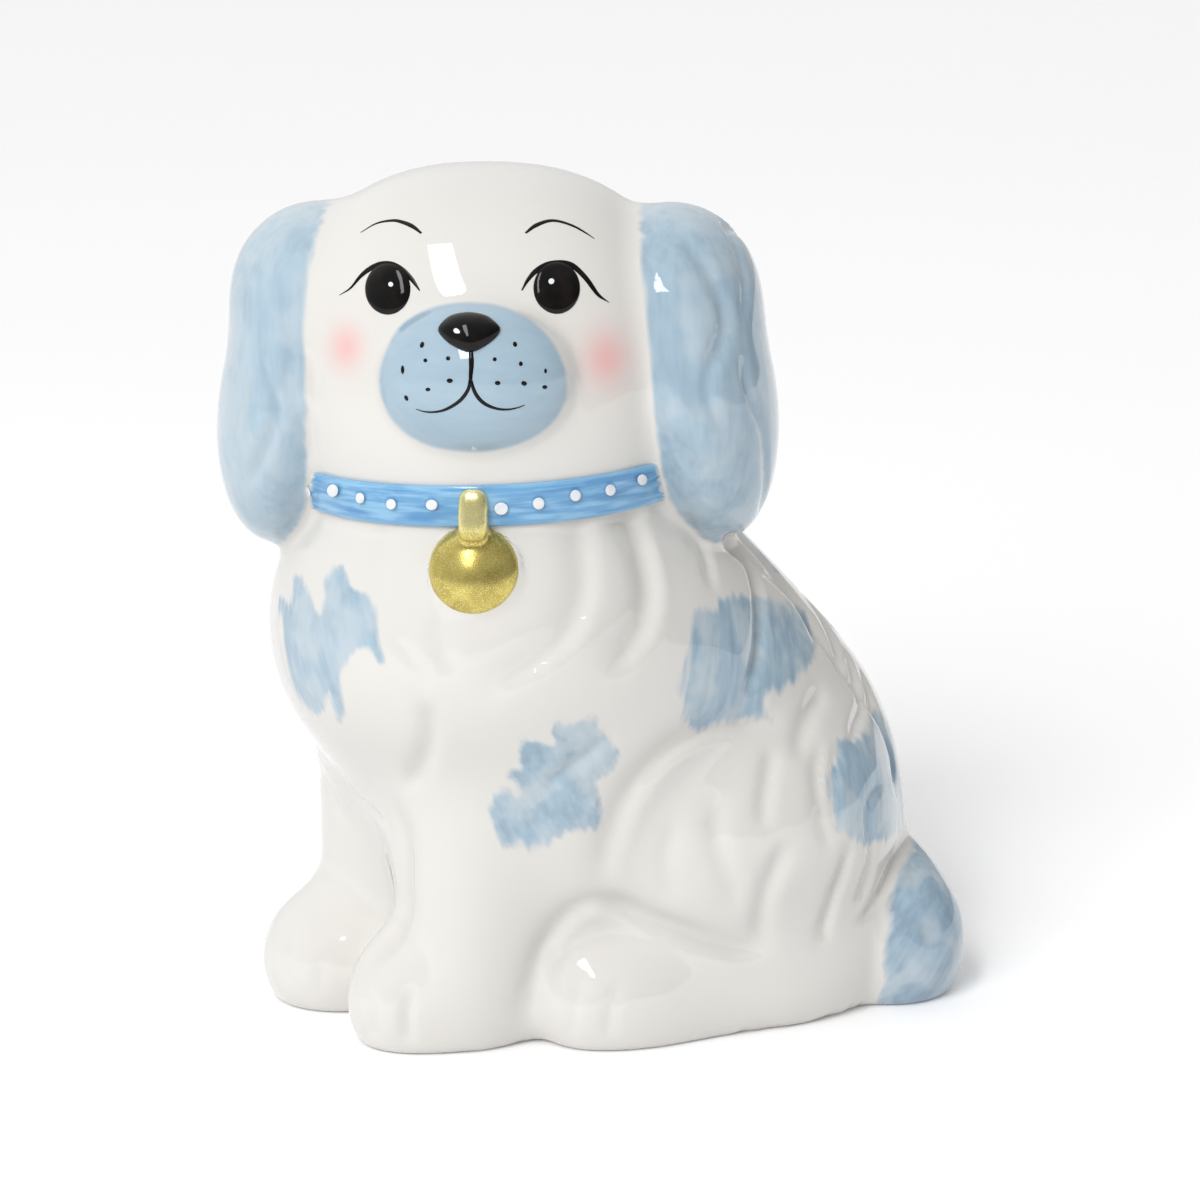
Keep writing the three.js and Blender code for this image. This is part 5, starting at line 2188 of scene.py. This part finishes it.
@dataclass
class Studio:
    """The plain floor, the soft lights and the camera."""

    floor_side: float = 9.0
    floor_white: float = 0.93
    floor_glow: float = 0.07
    softness: float = 34.0
    sky: tuple[tuple[Point, float], ...] = (
        ((0.0, 1.0, 0.0), 0.36),
        ((-1.0, 0.0, 0.0), 0.35),
        ((1.0, 0.0, 0.0), 0.9),
        ((0.0, 0.0, 1.0), 0.32),
        ((0.0, 0.0, -1.0), 1.3),
    )
    mirrored: tuple[tuple[Point, float], ...] = (
        ((0.0, 1.0, 0.0), 0.5),
        ((-1.0, 0.0, 0.0), 0.55),
        ((1.0, 0.0, 0.0), 0.12),
        ((0.0, 0.0, 1.0), 0.2),
        ((-0.26, 0.43, -0.86), 1.0),
    )

    def build(self) -> None:
        """Sets the floor, the lights and the camera."""
        self.floor()
        self.world()
        self.daylight((-0.45, 0.35, 1.0), 1.85)
        self.daylight((-1.1, 0.55, 0.35), 0.4)
        self.lamp("window", (-0.354, 0.8, 1.04), (0.19, 1.0), 21.0, 6.0)
        self.camera()

    def floor(self) -> None:
        """Lays the pale floor, which glows a little, as an overexposed backdrop does."""
        sheet = bmesh.new()
        bmesh.ops.create_grid(sheet, x_segments=8, y_segments=8, size=self.floor_side / 2.0)
        floor = held("floor", sheet)
        recipe = Recipe("pale_floor")
        white = self.floor_white
        cool = (white - 0.01, white - 0.01, white, 1.0)
        colour = recipe.mix(recipe.noise(recipe.where(), 3.0), cool, (white, white, white, 1.0))
        material = recipe.done(
            Base_Color=colour, Roughness=0.8, Emission_Color=WHITE_LIGHT, Emission_Strength=self.floor_glow
        )
        floor.data.materials.append(material)

    def world(self) -> None:
        """Surrounds the scene with soft white light. Gloss mirrors a room that is darker on one side."""
        world = bpy.data.worlds.new("soft_white")
        world.use_nodes = True
        nodes = Nodes(world.node_tree)
        which = nodes.node("Mix")
        nodes.plug(which.inputs[0], nodes.node("LightPath").outputs["Is Glossy Ray"])
        nodes.plug(which.inputs[2], self.lobes(nodes, self.sky))
        nodes.plug(which.inputs[3], self.lobes(nodes, self.mirrored))
        back = nodes.tree.nodes["Background"]
        nodes.plug(back.inputs["Color"], WHITE_LIGHT)
        nodes.plug(back.inputs["Strength"], which.outputs[0])
        scene = bpy.context.scene
        scene.world = world
        scene.view_settings.view_transform = "Standard"

    def lobes(self, nodes: Nodes, ways: Sequence[tuple[Point, float]]) -> Socket:
        """Adds up a soft lobe of light for each way that it comes from.

        Args:
            nodes: The world's nodes.
            ways: The camera's right, up and level towards it for each lobe, and its strength.

        Returns:
            The strength of the light for the direction that is looked at.
        """
        right, _, nearer = PHOTO.axes()
        axes = np.array([right, (0.0, 0.0, 1.0), unit((nearer[0], nearer[1], 0.0))])
        way = nodes.node("TexCoord").outputs["Generated"]
        lobes = []
        for place, strength in ways:
            lean = nodes.node("VectorMath", {"operation": "DOT_PRODUCT"})
            nodes.plug(lean.inputs[0], way)
            nodes.plug(lean.inputs[1], np.array(place) @ axes)
            facing = nodes.sum("MAXIMUM", lean.outputs["Value"], 0.0)
            lobes.append(nodes.sum("MULTIPLY", nodes.sum("POWER", facing, 2.0), strength))
        return nodes.total(*lobes)

    def daylight(self, place: Point, power: float) -> None:
        """Lights everything evenly from one side, without a highlight of its own.

        Args:
            place: The camera's right, up and towards it, from the aim.
            power: Its power in watts for a square metre.
        """
        light = bpy.data.lights.new("daylight", "SUN")
        light.energy = power
        light.angle = math.radians(self.softness)
        lamp = in_scene("daylight", light)
        lamp.visible_glossy = False
        lamp.rotation_euler = PHOTO.beside(place).to_track_quat("Z", "Y").to_euler()

    def lamp(self, name: str, place: Point, size: tuple[float, float], roll: float, power: float) -> None:
        """Hangs a soft lamp, placed from the camera's side.

        Args:
            name: The lamp's name.
            place: Metres to the camera's right, up and towards it, from the aim.
            size: The lamp's width and height, in metres.
            roll: How far it is turned about the line to the aim, in degrees.
            power: Its power in watts.
        """
        light = bpy.data.lights.new(name, "AREA")
        light.shape = "RECTANGLE"
        light.size, light.size_y = size
        light.energy = power
        lamp = in_scene(name, light)
        aim = to_frame() @ Vector(PHOTO.aim)
        spot = aim + PHOTO.beside(place)
        lamp.location = spot
        turn = (aim - spot).to_track_quat("-Z", "Y").to_matrix() @ Matrix.Rotation(math.radians(roll), 3, "Z")
        lamp.rotation_euler = turn.to_euler()

    def camera(self) -> None:
        """Sets the camera where the photograph was taken from."""
        view = bpy.data.cameras.new("camera")
        view.sensor_width = 36.0
        view.lens = view.sensor_width * PHOTO.focal / PHOTO.side
        view.clip_start, view.clip_end = 0.05, 50.0
        camera = in_scene("camera", view)
        eye = to_frame() @ Vector(PHOTO.eye())
        turn = Matrix(PHOTO.axes()).transposed()
        camera.matrix_world = Matrix.Translation(eye) @ turn.to_4x4()
        bpy.context.scene.camera = camera


def main() -> None:
    """Builds the bank piece by piece, then its stage."""
    logging.basicConfig(level=logging.INFO, format="%(message)s")
    casting = Casting()
    casting.build()
    Face(casting).build()
    Collar(casting).build()
    Bell(casting).build()
    Bung().build()
    Studio().build()


if __name__ == "__main__":
    main()
